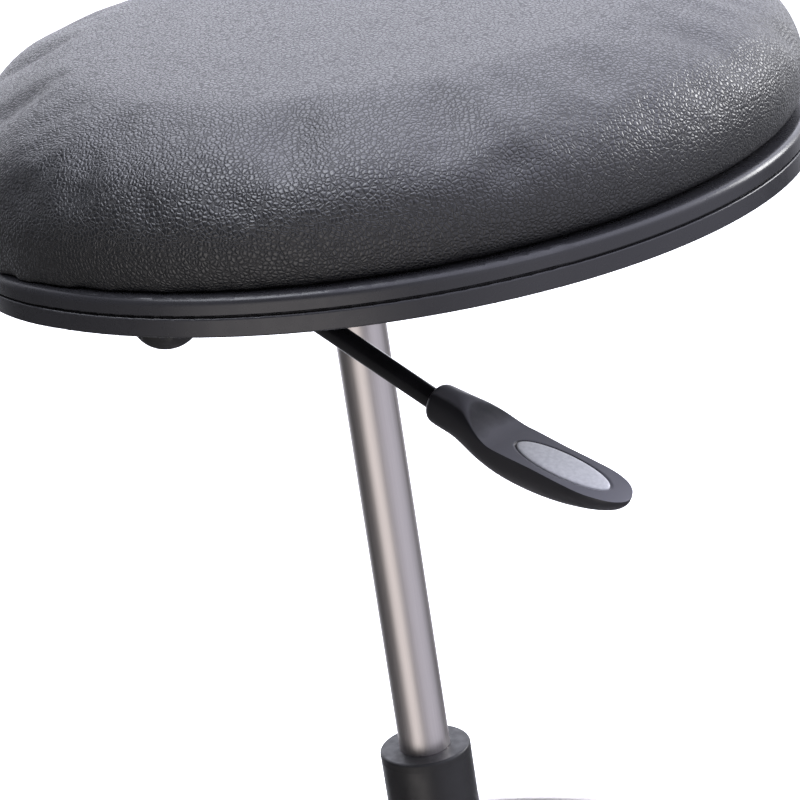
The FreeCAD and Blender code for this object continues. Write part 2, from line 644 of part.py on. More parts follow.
def make_mechanism():
    """Pressed steel box with a top flange, the tapered socket and the channel for the back bar."""
    flange = rounded_plate(FLANGE_HALF_W, -FLANGE_FRONT, FLANGE_REAR, FLANGE_Z, LIP_Z, 15.0)
    tail = rounded_plate(MECH_HALF_W, 0.0, CHANNEL_END, FLANGE_Z, LIP_Z, 6.0)
    box = rounded_plate(MECH_HALF_W, -MECH_FRONT, MECH_REAR, MECH_Z, FLANGE_Z, 8.0)
    room = rounded_plate(MECH_HALF_W - MECH_T, MECH_T - MECH_FRONT, MECH_REAR - MECH_T,
                         MECH_Z + MECH_T, FLANGE_Z, 5.5)
    box = box.cut(room)
    box = box.cut(cylinder(SOCKET_R, MECH_Z - 1.0, MECH_Z + MECH_T + 1.0))
    ear_span = PIVOT_R + EAR_MARGIN
    web_y = LEVER_BEND_Y + LEVER_R - 0.5
    ears = []
    for y0 in (web_y - CLEAR - EAR_T, web_y + FINGER_T + CLEAR):
        ear = block(-PIVOT_X - ear_span, -PIVOT_X + ear_span, y0, y0 + EAR_T, PIVOT_Z - ear_span, FLANGE_Z)
        ears.append(ear.cut(pivot_rod(PIVOT_R, y0 - 1.0, y0 + EAR_T + 1.0)))
    mouth = block(-MECH_HALF_W - 1.0, -8.0, LEVER_BEND_Y - 24.0, MECH_REAR - 8.0,
                  MECH_Z - 1.0, LEVER_Z + LEVER_R + 7.0)
    box = box.cut(mouth)
    plate = flange.fuse([tail, box] + ears)
    holes = [cylinder(BOLT_R + PLAY, FLANGE_Z - 1.0, LIP_Z + 1.0, x, y) for x, y in bolt_places()]
    add("mechanism_plate", plate.cut(Part.makeCompound(holes)).removeSplitter())
    pin_reach = CLEAR + EAR_T + PIN_HEAD
    add("lever_pivot_pin", pivot_rod(PIVOT_R, web_y - pin_reach, web_y + FINGER_T + pin_reach))
    socket = cylinder(SOCKET_R, SOCKET_Z, SOCKET_Z + SOCKET_LEN)
    bore = Part.makeCone(TUBE_R, TUBE_R - CONE_DROP, CONE_LEN, Vector(0.0, 0.0, SOCKET_Z))
    add("taper_socket", socket.cut(bore))
    half_w = BAR_W / 2.0 + CLEAR
    half_t = BAR_T / 2.0 + CLEAR
    channel = block(-half_w - CHANNEL_WALL, half_w + CHANNEL_WALL, CHANNEL_START, CHANNEL_END,
                    BAR_Z - half_t - CHANNEL_WALL, FLANGE_Z)
    channel = channel.cut(block(-half_w, half_w, CHANNEL_START - 1.0, CHANNEL_END + 1.0,
                                BAR_Z - half_t, BAR_Z + half_t))
    channel = channel.cut(cylinder(STUD_R + FIT, BAR_Z - half_t - CHANNEL_WALL - 1.0, BAR_Z - half_t + 1.0,
                                   0.0, DEPTH_KNOB_Y))
    add("back_bar_channel", channel)


def bolt_places():
    """Plan positions of the four seat bolts."""
    return [(sx * BOLT_X, y) for sx in (-1.0, 1.0) for y in (-BOLT_FRONT, BOLT_REAR)]


def screw_places():
    """Plan positions of the screws that hold the seat cover."""
    places = []
    for i in range(SCREW_COUNT):
        angle = 2.0 * math.pi * i / SCREW_COUNT
        places.append((SCREW_RING * math.cos(angle), SCREW_RING * math.sin(angle) - SEAT_SHIFT))
    return places


def pivot_rod(radius, y0, y1):
    """Cylinder on the lever's pivot axis."""
    return Part.makeCylinder(radius, y1 - y0, Vector(-PIVOT_X, y0, PIVOT_Z), Vector(0.0, 1.0, 0.0))


# ---------------------------------------------------------------- height lever

def lever_way():
    """Unit vector along the straight rod, outward and down."""
    heading = math.radians(LEVER_HEADING)
    drop = math.radians(LEVER_DROP)
    return Vector(-math.cos(heading) * math.cos(drop), -math.sin(heading) * math.cos(drop), -math.sin(drop))


def make_lever_rod():
    """Round rod: a short run along X, one bend and a straight run into the handle."""
    corner = Vector(-LEVER_BEND_X, LEVER_BEND_Y, LEVER_Z)
    inner = Vector(1.0, 0.0, 0.0)
    outer = lever_way()
    turn = math.acos(-inner.dot(outer))
    reach = LEVER_BEND_R * math.tan(turn / 2.0)
    start = corner + inner * LEVER_TAIL
    bend_in = corner + inner * reach
    bend_out = corner + outer * reach
    bisector = (inner + outer).normalize()
    centre_gap = LEVER_BEND_R / math.cos(turn / 2.0)
    middle = corner + bisector * (centre_gap - LEVER_BEND_R)
    finish = handle_root() + handle_way() * HANDLE_GRASP
    root = handle_root()
    path = Part.Wire([
        Part.LineSegment(start, bend_in).toShape(),
        Part.Arc(bend_in, middle, bend_out).toShape(),
        Part.LineSegment(bend_out, root).toShape(),
    ])
    circle = Part.Wire([Part.Circle(start, inner, LEVER_R).toShape()])
    rod = path.makePipeShell([circle], True, True)
    length = (finish - root).Length
    spigot = Part.makeCylinder(LEVER_R, length, root, handle_way())
    knee = Part.makeSphere(LEVER_R, root)
    rod = rod.fuse([spigot, knee])
    flat = LEVER_BEND_Y + LEVER_R - 0.5
    rod = rod.cut(block(-LEVER_BEND_X - 20.0, 20.0, flat, flat + 10.0, LEVER_Z - 20.0, LEVER_Z + 20.0))
    add("lever_rod", rod.removeSplitter())


def make_release_finger():
    """Bent steel plate: an upright web on the pivot and a shelf over the release button."""
    web_y = LEVER_BEND_Y + LEVER_R - 0.5
    shelf_top = FINGER_Z + FINGER_T
    web = block(-PIVOT_X - 7.0, FINGER_HALF_W, web_y, web_y + FINGER_T, LEVER_Z - LEVER_R, shelf_top)
    shelf = block(-FINGER_HALF_W, FINGER_HALF_W, -FINGER_HALF_W, web_y + FINGER_T, FINGER_Z, shelf_top)
    plate = web.fuse(shelf)
    relief = block(-FINGER_HALF_W, FINGER_HALF_W + OVERCUT, web_y - OVERCUT, web_y + FINGER_T + OVERCUT,
                   LEVER_Z - LEVER_R - OVERCUT, LEVER_Z + LEVER_R)
    plate = plate.cut(relief)
    plate = plate.cut(pivot_rod(PIVOT_R + FIT, web_y - OVERCUT, web_y + FINGER_T + OVERCUT))
    add("release_finger", plate.removeSplitter())


def handle_way():
    """Unit vector along the handle, outward and down."""
    heading = math.radians(LEVER_HEADING)
    drop = math.radians(HANDLE_DROP)
    return Vector(-math.cos(heading) * math.cos(drop), -math.sin(heading) * math.cos(drop), -math.sin(drop))


def handle_root():
    """Where the rod enters the handle."""
    return Vector(-LEVER_BEND_X, LEVER_BEND_Y, LEVER_Z) + lever_way() * LEVER_STRAIGHT


def place_on_handle(shape):
    """Move a shape from the handle's own frame, +X to the tip and +Z up, to the chair."""
    placed = shape.copy()
    placed.rotate(Vector(0.0, 0.0, 0.0), Vector(0.0, 1.0, 0.0), HANDLE_DROP)
    placed.rotate(Vector(0.0, 0.0, 0.0), Vector(0.0, 0.0, 1.0), 180.0 + LEVER_HEADING)
    placed.translate(handle_root())
    return placed


def handle_section(x, half_w, half_h, z):
    """Smooth oval across the handle, centred at height z."""
    points = []
    for i in range(16):
        angle = 2.0 * math.pi * i / 16
        points.append(Vector(x, half_w * math.cos(angle), z + half_h * math.sin(angle)))
    curve = Part.BSplineCurve()
    curve.interpolate(points, PeriodicFlag=True)
    return Part.Wire([curve.toShape()])


def oval_prism(length, width, x, z0, z1):
    """Upright prism with an oval plan."""
    curve = Part.Ellipse(Vector(x, 0.0, z0), length / 2.0, width / 2.0)
    return Part.Face(Part.Wire([curve.toShape()])).extrude(Vector(0.0, 0.0, z1 - z0))


def scoop_room():
    """Space above the handle's top face: over the flat, and over the ramp that leads down to it."""
    side = 2.0 * HANDLE_HALF_W
    high = 3.0 * HANDLE_ROOT_R
    flat = block(SCOOP_START, HANDLE_LEN + OVERCUT, -side, side, SCOOP_Z, high)
    ramp = block(-HANDLE_LEN, 0.0, -side, side, 0.0, high)
    ramp.rotate(Vector(0.0, 0.0, 0.0), Vector(0.0, 1.0, 0.0), SCOOP_RAMP)
    ramp.translate(Vector(SCOOP_START, 0.0, SCOOP_Z))
    return flat.fuse(ramp)


def make_handle():
    """Soft-touch paddle: a round socket, a deep belly, a flat top face and a long oval inset."""
    r = HANDLE_ROOT_R
    w = HANDLE_HALF_W
    belly = HANDLE_BELLY
    sections = [
        handle_section(0.0, r, r, 0.0),
        handle_section(0.16 * HANDLE_LEN, r, 0.5 * (r + 0.60 * belly), 0.5 * (r - 0.60 * belly)),
        handle_section(0.36 * HANDLE_LEN, 0.86 * w, 0.73 * belly, -0.21 * belly),
        handle_section(0.55 * HANDLE_LEN, 0.92 * w, 0.79 * belly, -0.21 * belly),
        handle_section(0.78 * HANDLE_LEN, w, 0.56 * belly, -0.20 * belly),
        handle_section(0.93 * HANDLE_LEN, 0.79 * w, 0.30 * belly, -0.17 * belly),
        handle_section(0.99 * HANDLE_LEN, 0.35 * w, 0.14 * belly, -0.11 * belly),
    ]
    grip = Part.makeLoft(sections, True, False)
    grip = grip.cut(scoop_room())
    middle = SCOOP_START + INSET_MARGIN + 0.5 * INSET_LEN
    pocket = oval_prism(INSET_LEN, INSET_W, middle, SCOOP_Z + INSET_PROUD - INSET_T, SCOOP_Z + INSET_PROUD)
    add("lever_handle", place_on_handle(grip.cut(pocket)).cut(PARTS["lever_rod"]))
    add("lever_inset", place_on_handle(pocket))


# ---------------------------------------------------------------- clamp knobs

def knob(neck_len, stud_len):
    """Lobed knob with a moulded stud, in its own frame: stud up +Z, face of the clamped piece at z = 0."""
    crown = -neck_len - KNOB_H
    head = cylinder(KNOB_R, crown, -neck_len)
    head = head.makeFillet(KNOB_DOME, level_edges(head, crown))
    head = head.makeFillet(KNOB_SHOULDER, level_edges(head, -neck_len))
    flutes = []
    for i in range(KNOB_LOBES):
        angle = 2.0 * math.pi * i / KNOB_LOBES
        reach = KNOB_R + FLUTE_R - FLUTE_DEPTH
        flutes.append(cylinder(FLUTE_R, crown - 1.0, crown + FLUTE_LEN,
                               reach * math.cos(angle), reach * math.sin(angle)))
    head = head.cut(Part.makeCompound(flutes))
    neck = cylinder(KNOB_NECK_R, -neck_len - 1.0, 0.0)
    stud = cylinder(STUD_R, -1.0, stud_len)
    return head.fuse([neck, stud]).removeSplitter()


# ---------------------------------------------------------------- seat

def raise_to_lip(shape):
    """Move a seat pad piece up from its own frame to the seat height."""
    placed = shape.copy()
    placed.translate(Vector(0.0, 0.0, LIP_Z))
    return placed


def make_seat():
    """Seat cover tray, rim, board, cushion and the fasteners that hold them."""
    bolt_holes = [cylinder(BOLT_R + PLAY, -1.0, 30.0, x, y) for x, y in bolt_places()]
    screw_holes = [cylinder(SCREW_R, -OVERCUT, SEAT_HOLE_DEPTH, x, y) for x, y in screw_places()]
    holes = Part.makeCompound(bolt_holes + screw_holes)
    add("seat_under_cover", raise_to_lip(pad_cover(seat_outline).cut(holes)))
    add("seat_rim", raise_to_lip(pad_rim(seat_outline)))
    add("seat_board", raise_to_lip(pad_board(seat_outline, SEAT_BOARD_T).cut(holes)))
    stack = (seat_outline, SEAT_BOARD_T, SEAT_CUSHION_H, SEAT_TOP_ROUND)
    add("seat_foam", raise_to_lip(pad_foam(*stack)))
    add("seat_upholstery", raise_to_lip(pad_skin(*stack)))
    bolt_len = FLANGE_T + SEAT_HOLE_DEPTH
    bolts = [hex_bolt(BOLT_R, bolt_len, BOLT_HEAD_R, BOLT_HEAD_H, x, y, FLANGE_Z) for x, y in bolt_places()]
    screws = []
    for x, y in screw_places():
        head = cylinder(SCREW_HEAD_R, LIP_Z - SCREW_HEAD_H, LIP_Z, x, y)
        head = head.makeFillet(SCREW_HEAD_ROUND, level_edges(head, LIP_Z - SCREW_HEAD_H))
        shank = cylinder(SCREW_R, LIP_Z, LIP_Z + SEAT_HOLE_DEPTH - 1.0, x, y)
        screws.append(head.fuse(shank))
    add("seat_fasteners", Part.makeCompound(bolts + screws))


# ---------------------------------------------------------------- back bar and backrest

def upright_base():
    """Point on the bar's centre line where the bend ends and the upright begins."""
    turn = math.radians(90.0 - RECLINE)
    y = BAR_BEND_Y + BAR_BEND_R * math.sin(turn)
    z = BAR_Z + BAR_BEND_R * (1.0 - math.cos(turn))
    return Vector(0.0, y, z)


def make_back_bar():
    """Flat steel bar bent once, from the channel under the seat up behind the backrest."""
    turn = math.radians(90.0 - RECLINE)
    half = BAR_T / 2.0
    centre_z = BAR_Z + BAR_BEND_R
    up = Vector(0.0, math.sin(math.radians(RECLINE)), math.cos(math.radians(RECLINE)))
    x = -BAR_W / 2.0

    def on_arc(radius, angle):
        return Vector(x, BAR_BEND_Y + radius * math.sin(angle), centre_z - radius * math.cos(angle))

    outer = BAR_BEND_R + half
    inner = BAR_BEND_R - half
    edges = [
        Part.LineSegment(Vector(x, BAR_START, BAR_Z - half), on_arc(outer, 0.0)),
        Part.Arc(on_arc(outer, 0.0), on_arc(outer, turn / 2.0), on_arc(outer, turn)),
        Part.LineSegment(on_arc(outer, turn), on_arc(outer, turn) + up * UPRIGHT_LEN),
        Part.LineSegment(on_arc(outer, turn) + up * UPRIGHT_LEN, on_arc(inner, turn) + up * UPRIGHT_LEN),
        Part.LineSegment(on_arc(inner, turn) + up * UPRIGHT_LEN, on_arc(inner, turn)),
        Part.Arc(on_arc(inner, turn), on_arc(inner, turn / 2.0), on_arc(inner, 0.0)),
        Part.LineSegment(on_arc(inner, 0.0), Vector(x, BAR_START, BAR_Z + half)),
        Part.LineSegment(Vector(x, BAR_START, BAR_Z + half), Vector(x, BAR_START, BAR_Z - half)),
    ]
    face = Part.Face(Part.Wire([edge.toShape() for edge in edges]))
    bar = face.extrude(Vector(BAR_W, 0.0, 0.0))
    tip = upright_base() + up * UPRIGHT_LEN
    tip_edges = []
    for edge in bar.Edges:
        middle = edge.CenterOfMass
        level = abs((middle - tip).dot(up)) < 0.01
        if level and edge.Length < BAR_T + 0.01:
            tip_edges.append(edge)
    add("back_bar", bar.makeFillet(BAR_W * 0.3, tip_edges))


def on_upright(shape):
    """Move a shape from the upright's own frame, +Z along the bar and -Y to the sitter, to the chair."""
    placed = shape.copy()
    placed.rotate(Vector(0.0, 0.0, 0.0), Vector(1.0, 0.0, 0.0), -RECLINE)
    placed.translate(upright_base())
    return placed


def on_back(shape):
    """Move a pad piece from its own flat frame to the front of the back bracket."""
    placed = shape.copy()
    placed.rotate(Vector(0.0, 0.0, 0.0), Vector(1.0, 0.0, 0.0), 90.0)
    placed.translate(Vector(0.0, -bracket_front(), BACK_HEIGHT))
    return on_upright(placed)


def bracket_front():
    """Distance from the upright's middle to the front of the bracket plate."""
    return BAR_T / 2.0 + CLEAR + SLEEVE_WALL + FLANGE_T


def back_screw_places():
    """Positions of the four backrest screws in the pad's own frame."""
    return [(sx * BACK_SCREW_X, sz * BACK_SCREW_Z) for sx in (-1.0, 1.0) for sz in (-1.0, 1.0)]


def make_backrest():
    """Sleeve bracket, cover tray, rim, board, cushion and screws of the backrest."""
    half_w = BAR_W / 2.0 + CLEAR
    half_t = BAR_T / 2.0 + CLEAR
    z0 = BACK_HEIGHT - SLEEVE_LEN / 2.0
    z1 = BACK_HEIGHT + SLEEVE_LEN / 2.0
    outer_w = half_w + SLEEVE_WALL
    outer_t = half_t + SLEEVE_WALL
    sleeve = block(-outer_w, outer_w, -outer_t, outer_t, z0, z1)
    plate = block(-BRACKET_HALF_W, BRACKET_HALF_W, -bracket_front(), -outer_t,
                  BACK_HEIGHT - BRACKET_HALF_H, BACK_HEIGHT + BRACKET_HALF_H)
    bracket = sleeve.fuse(plate)
    bracket = bracket.cut(block(-half_w, half_w, -half_t, half_t, z0 - 1.0, z1 + 1.0))
    stud_hole = Part.makeCylinder(STUD_R + FIT, 2.0 * SLEEVE_WALL, Vector(0.0, half_t - 1.0, BACK_HEIGHT),
                                  Vector(0.0, 1.0, 0.0))
    bracket = bracket.cut(stud_hole)
    for x, z in back_screw_places():
        start = Vector(x, -bracket_front() - OVERCUT, BACK_HEIGHT + z)
        hole = Part.makeCylinder(BACK_SCREW_R, 2.0 * FLANGE_T, start, Vector(0.0, 1.0, 0.0))
        bracket = bracket.cut(hole)
    add("back_bracket", on_upright(bracket.removeSplitter()))
    holes = [cylinder(BACK_SCREW_R, -OVERCUT, BACK_HOLE_DEPTH, x, y) for x, y in back_screw_places()]
    holes = Part.makeCompound(holes)
    add("back_cover", on_back(pad_cover(back_outline).cut(holes)))
    add("back_rim", on_back(pad_rim(back_outline)))
    add("back_board", on_back(pad_board(back_outline, BACK_BOARD_T).cut(holes)))
    stack = (back_outline, BACK_BOARD_T, BACK_CUSHION_H, BACK_TOP_ROUND)
    add("back_foam", on_back(pad_foam(*stack)))
    add("back_upholstery", on_back(pad_skin(*stack)))
    screws = []
    for x, y in back_screw_places():
        head = cylinder(BACK_HEAD_R, -FLANGE_T - BACK_HEAD_H, -FLANGE_T, x, y)
        head = head.makeFillet(BACK_HEAD_ROUND, level_edges(head, -FLANGE_T - BACK_HEAD_H))
        screws.append(head.fuse(cylinder(BACK_SCREW_R, -FLANGE_T, BACK_HOLE_DEPTH - 1.0, x, y)))
    add("back_screws", on_back(Part.makeCompound(screws)))


def make_knobs():
    """The three clamp knobs: bar depth, backrest height and foot ring height."""
    depth = knob(DEPTH_KNOB_NECK, CHANNEL_WALL + CLEAR)
    depth.translate(Vector(0.0, DEPTH_KNOB_Y, KNOB_FACE_Z - CLEAR))
    add("depth_knob", depth)
    back = knob(KNOB_NECK, SLEEVE_WALL + CLEAR)
    back.rotate(Vector(0.0, 0.0, 0.0), Vector(1.0, 0.0, 0.0), 90.0)
    back.translate(Vector(0.0, BAR_T / 2.0 + 2.0 * CLEAR + SLEEVE_WALL, BACK_HEIGHT))
    add("back_knob", on_upright(back))
    ring_knob = knob(KNOB_NECK, RING_BUSH_WALL + COLLAR_WALL)
    ring_knob.rotate(Vector(0.0, 0.0, 0.0), Vector(1.0, 0.0, 0.0), -90.0)
    ring_knob.translate(Vector(0.0, -COLLAR_R - CLEAR, RING_Z + COLLAR_H / 2.0))
    add("foot_ring_knob", ring_knob)


# ---------------------------------------------------------------- foot ring

def make_foot_ring():
    """Steel hoop on spokes, welded to a collar that slides on the outer tube over a plastic bush."""
    hoop = Part.makeTorus(RING_R, RING_TUBE_R, Vector(0.0, 0.0, RING_Z))
    collar_z1 = RING_Z + COLLAR_H
    spokes = []
    for i in range(SPOKE_COUNT):
        angle = math.radians(SPOKE_HEADING + 360.0 * i / SPOKE_COUNT)
        start = Vector(RING_BUSH_R * math.cos(angle), RING_BUSH_R * math.sin(angle), RING_Z + SPOKE_RISE)
        end = Vector(RING_R * math.cos(angle), RING_R * math.sin(angle), RING_Z)
        way = end - start
        spokes.append(Part.makeCylinder(SPOKE_R, way.Length, start, way))
    collar = cylinder(COLLAR_R, RING_Z, collar_z1)
    hoop = hoop.fuse(spokes).cut(collar)
    add("foot_ring_hoop", hoop)
    stud_z = RING_Z + COLLAR_H / 2.0
    stud_hole = Part.makeCylinder(STUD_R + FIT, 2.0 * COLLAR_R, Vector(0.0, 0.0, stud_z),
                                  Vector(0.0, -1.0, 0.0))
    sleeve = ring(COLLAR_R, RING_BUSH_R, RING_Z, collar_z1)
    add("foot_ring_collar", sleeve.cut(stud_hole))
    bush = ring(RING_BUSH_R, OUTER_R + FIT, RING_Z, collar_z1)
    lip = ring(COLLAR_R - 1.0, OUTER_R + FIT, collar_z1, collar_z1 + RING_BUSH_LIP)
    add("foot_ring_bush", bush.fuse(lip).cut(stud_hole).removeSplitter())


# ---------------------------------------------------------------- build and write

def main():
    make_base()
    make_casters()
    make_column()
    make_mechanism()
    make_lever_rod()
    make_release_finger()
    make_handle()
    make_seat()
    make_back_bar()
    make_backrest()
    make_knobs()
    make_foot_ring()
    os.makedirs("parts", exist_ok=True)
    for name, shape in PARTS.items():
        shape.exportStep("parts/%s.step" % name)
    print(len(PARTS), "parts written")


main()
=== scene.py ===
"""Looks of the drafting chair: cushions, lip bands, lever, steel, castings and soft studio light."""

import json
import math

import bpy
from mathutils import Matrix, Vector


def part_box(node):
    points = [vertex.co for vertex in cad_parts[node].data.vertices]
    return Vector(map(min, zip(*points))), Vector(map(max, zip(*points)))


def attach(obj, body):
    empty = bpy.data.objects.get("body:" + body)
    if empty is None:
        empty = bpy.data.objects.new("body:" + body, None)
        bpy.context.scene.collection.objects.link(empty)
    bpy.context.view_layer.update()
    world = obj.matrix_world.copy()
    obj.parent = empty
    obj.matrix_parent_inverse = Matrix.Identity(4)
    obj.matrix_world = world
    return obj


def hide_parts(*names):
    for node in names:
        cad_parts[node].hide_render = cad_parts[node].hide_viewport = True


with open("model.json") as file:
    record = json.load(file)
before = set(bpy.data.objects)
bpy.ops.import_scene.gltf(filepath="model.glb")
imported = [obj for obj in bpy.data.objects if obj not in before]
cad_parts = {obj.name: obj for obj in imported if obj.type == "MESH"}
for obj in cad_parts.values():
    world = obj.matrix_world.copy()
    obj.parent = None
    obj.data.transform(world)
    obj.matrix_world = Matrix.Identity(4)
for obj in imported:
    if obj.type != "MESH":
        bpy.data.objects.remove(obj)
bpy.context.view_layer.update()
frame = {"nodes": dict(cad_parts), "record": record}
NODES = frame["nodes"]

MM = 0.001
UP = Vector((0.0, 0.0, 1.0))

# pad outlines, as in the CAD model, in metres
SEAT_RADII = (0.420, 0.140, 0.225)      # rear arc, rear corners, front and sides
SEAT_TURN = math.radians(42.0)          # from +Y to where a corner meets the round front
BACK_HALF = (0.200, 0.155)              # half width, half height
BACK_RADII = (0.620, 0.085, 0.420)      # top and bottom arcs, corners, sides
RECLINE = math.radians(6.0)

# The crease colour is painted shade: the creases between pebbles are coloured darker than the crowns.
VINYL_CREASE_SHADE = (0.0025, 0.0026, 0.0030)
VINYL_CROWN = (0.0110, 0.0118, 0.0140)
PEBBLES_PER_METRE = 470.0
FINE_GRAIN_PER_METRE = 900.0
PEBBLE_HEIGHT = 0.40 * MM
PEBBLE_DRIFT = 2.0 * MM


# ---------------------------------------------------------------- node materials

class Shader:
    """Small helper that builds one Principled material from named nodes."""

    def __init__(self, name):
        self.material = bpy.data.materials.new(name)
        self.material.use_nodes = True
        self.tree = self.material.node_tree
        self.main = self.tree.nodes["Principled BSDF"]
        self.place = self.add("ShaderNodeTexCoord").outputs["Object"]

    def add(self, kind, **settings):
        node = self.tree.nodes.new(kind)
        for key, value in settings.items():
            setattr(node, key, value)
        return node

    def link(self, source, target):
        self.tree.links.new(source, target)

    def set(self, **sockets):
        for key, value in sockets.items():
            self.main.inputs[key.replace("_", " ")].default_value = value
        return self

    def noise(self, scale, detail=3.0, roughness=0.5, stretch=None, distortion=0.0):
        node = self.add("ShaderNodeTexNoise")
        node.inputs["Scale"].default_value = scale
        node.inputs["Detail"].default_value = detail
        node.inputs["Roughness"].default_value = roughness
        node.inputs["Distortion"].default_value = distortion
        self.link(self.stretched(stretch), node.inputs["Vector"])
        return node.outputs["Fac"]

    def stretched(self, stretch):
        if stretch is None:
            return self.place
        mapping = self.add("ShaderNodeMapping")
        mapping.inputs["Scale"].default_value = stretch
        self.link(self.place, mapping.inputs["Vector"])
        return mapping.outputs["Vector"]

    def cells(self, scale, feature="F1", randomness=1.0, vector=None):
        node = self.add("ShaderNodeTexVoronoi", feature=feature)
        node.inputs["Scale"].default_value = scale
        node.inputs["Randomness"].default_value = randomness
        self.link(vector or self.place, node.inputs["Vector"])
        return node.outputs["Distance"]

    def ramp(self, source, low, high, start=0.0, end=1.0):
        node = self.add("ShaderNodeMapRange", interpolation_type="SMOOTHSTEP")
        node.inputs["From Min"].default_value = start
        node.inputs["From Max"].default_value = end
        node.inputs["To Min"].default_value = low
        node.inputs["To Max"].default_value = high
        self.link(source, node.inputs["Value"])
        return node.outputs["Result"]

    def math(self, operation, first, second):
        node = self.add("ShaderNodeMath", operation=operation)
        for socket, value in zip(node.inputs, (first, second)):
            if isinstance(value, (int, float)):
                socket.default_value = value
            else:
                self.link(value, socket)
        return node.outputs[0]

    def colours(self, source, dark, light, start=0.35, end=0.65):
        node = self.add("ShaderNodeValToRGB")
        stops = node.color_ramp.elements
        stops[0].position = start
        stops[1].position = end
        stops[0].color = (*dark, 1.0)
        stops[1].color = (*light, 1.0)
        self.link(source, node.inputs["Fac"])
        self.link(node.outputs["Color"], self.main.inputs["Base Color"])
        return self

    def rough(self, source, low, high, start=0.3, end=0.7):
        self.link(self.ramp(source, low, high, start, end), self.main.inputs["Roughness"])
        return self

    def bump(self, height, depth, strength=1.0, below=None):
        node = self.add("ShaderNodeBump")
        node.inputs["Strength"].default_value = strength
        node.inputs["Distance"].default_value = depth
        self.link(height, node.inputs["Height"])
        if below is not None:
            self.link(below, node.inputs["Normal"])
        self.link(node.outputs["Normal"], self.main.inputs["Normal"])
        return node.outputs["Normal"]


def black_vinyl():
    """Pebble-grain upholstery vinyl: domed pebbles about 2 mm across, with narrow creases coloured darker as
    painted shade.
    """
    s = Shader("black_vinyl")
    drift = s.add("ShaderNodeTexNoise")
    drift.inputs["Scale"].default_value = 120.0
    drift.inputs["Detail"].default_value = 2.0
    s.link(s.place, drift.inputs["Vector"])
    shift = s.add("ShaderNodeVectorMath", operation="SCALE")
    shift.inputs["Scale"].default_value = PEBBLE_DRIFT
    s.link(drift.outputs["Color"], shift.inputs[0])
    warp = s.add("ShaderNodeVectorMath", operation="ADD")
    s.link(s.place, warp.inputs[0])
    s.link(shift.outputs["Vector"], warp.inputs[1])
    warped = warp.outputs["Vector"]
    edge = s.cells(PEBBLES_PER_METRE, "DISTANCE_TO_EDGE", 0.95, warped)
    slope = s.math("MINIMUM", s.math("MULTIPLY", edge, 2.3), 1.0)
    dome = s.math("MULTIPLY", slope, s.math("SUBTRACT", 2.0, slope))
    crease = s.ramp(edge, 0.0, 1.0, 0.0, 0.20)
    fine = s.ramp(s.cells(FINE_GRAIN_PER_METRE, "F1", 1.0, warped), 1.0, 0.0, 0.0, 0.8)
    height = s.math("ADD", s.math("MULTIPLY", dome, 0.86), s.math("MULTIPLY", fine, 0.07))
    # Darker colour in the creases is painted shade; the roughness ramp below is the vinyl's own.
    s.colours(crease, VINYL_CREASE_SHADE, VINYL_CROWN, 0.05, 0.80)
    s.rough(crease, 0.62, 0.34, 0.1, 0.9)
    soft = s.bump(s.noise(24.0, 2.0, 0.5, (1.0, 1.0, 2.8)), 1.0 * MM, 0.25)
    s.bump(height, PEBBLE_HEIGHT, 0.85, soft)
    s.set(Specular_IOR_Level=0.95, IOR=1.5)
    return s.material


def charcoal_plastic():
    """Moulded charcoal plastic of the lip: satin, with a very fine spark texture."""
    s = Shader("charcoal_plastic")
    tone = s.noise(9.0, 4.0)
    s.colours(tone, (0.028, 0.028, 0.032), (0.037, 0.037, 0.041))
    s.rough(s.noise(140.0, 3.0), 0.24, 0.32)
    s.bump(s.noise(2600.0, 2.0), 0.02 * MM, 0.25)
    s.set(Specular_IOR_Level=0.55)
    return s.material


def black_plastic(name="black_plastic", rough=(0.42, 0.55), dark=0.012, light=0.018):
    """Moulded black plastic with a spark-eroded texture."""
    s = Shader(name)
    s.colours(s.noise(30.0, 4.0), (dark, dark, dark * 1.05), (light, light, light * 1.06))
    s.rough(s.noise(220.0, 3.0), *rough)
    s.bump(s.noise(2200.0, 2.0), 0.05 * MM, 0.35)
    return s.material


def soft_touch():
    """Soft-touch coating of the paddle: dark, with its upward faces coloured paler, partly wear and partly
    painted light on the top.
    """
    s = Shader("soft_touch_plastic")
    upward = s.add("ShaderNodeSeparateXYZ")
    s.link(s.add("ShaderNodeNewGeometry").outputs["Normal"], upward.inputs[0])
    # Upward faces get a paler colour: painted light on the top, where the seat keeps the lamps' light away;
    # the noisy patches add wear.
    painted_top_light = s.ramp(upward.outputs["Z"], 0.0, 0.85, 0.55, 0.97)
    patches = s.math("ADD", s.math("MULTIPLY", s.noise(90.0, 5.0, 0.6), 0.5), 0.75)
    top_light_and_wear = s.math("MULTIPLY", painted_top_light, patches)
    s.colours(top_light_and_wear, (0.028, 0.028, 0.033), (0.165, 0.165, 0.184))
    s.rough(s.noise(55.0, 5.0, 0.6), 0.34, 0.46)
    s.bump(s.noise(1900.0, 3.0), 0.05 * MM, 0.30)
    s.set(Sheen_Weight=0.15, Sheen_Roughness=0.3)
    return s.material


def grey_inset():
    """Pale grey plastic of the oval inset, finely grained."""
    s = Shader("grey_inset")
    s.colours(s.noise(420.0, 4.0), (0.64, 0.65, 0.67), (0.74, 0.75, 0.77))
    s.rough(s.noise(300.0, 2.0), 0.42, 0.55)
    s.bump(s.noise(1500.0, 3.0), 0.04 * MM, 0.4)
    return s.material


def satin_nickel():
    """Plated tube with fine marks drawn along its length."""
    s = Shader("satin_nickel")
    drawn = s.noise(34.0, 5.0, 0.62, (30.0, 30.0, 0.7))
    s.colours(drawn, (0.56, 0.525, 0.515), (0.66, 0.625, 0.615), 0.2, 0.8)
    s.rough(drawn, 0.32, 0.42, 0.2, 0.8)
    s.bump(drawn, 0.02 * MM, 0.25)
    s.set(Metallic=1.0)
    return s.material


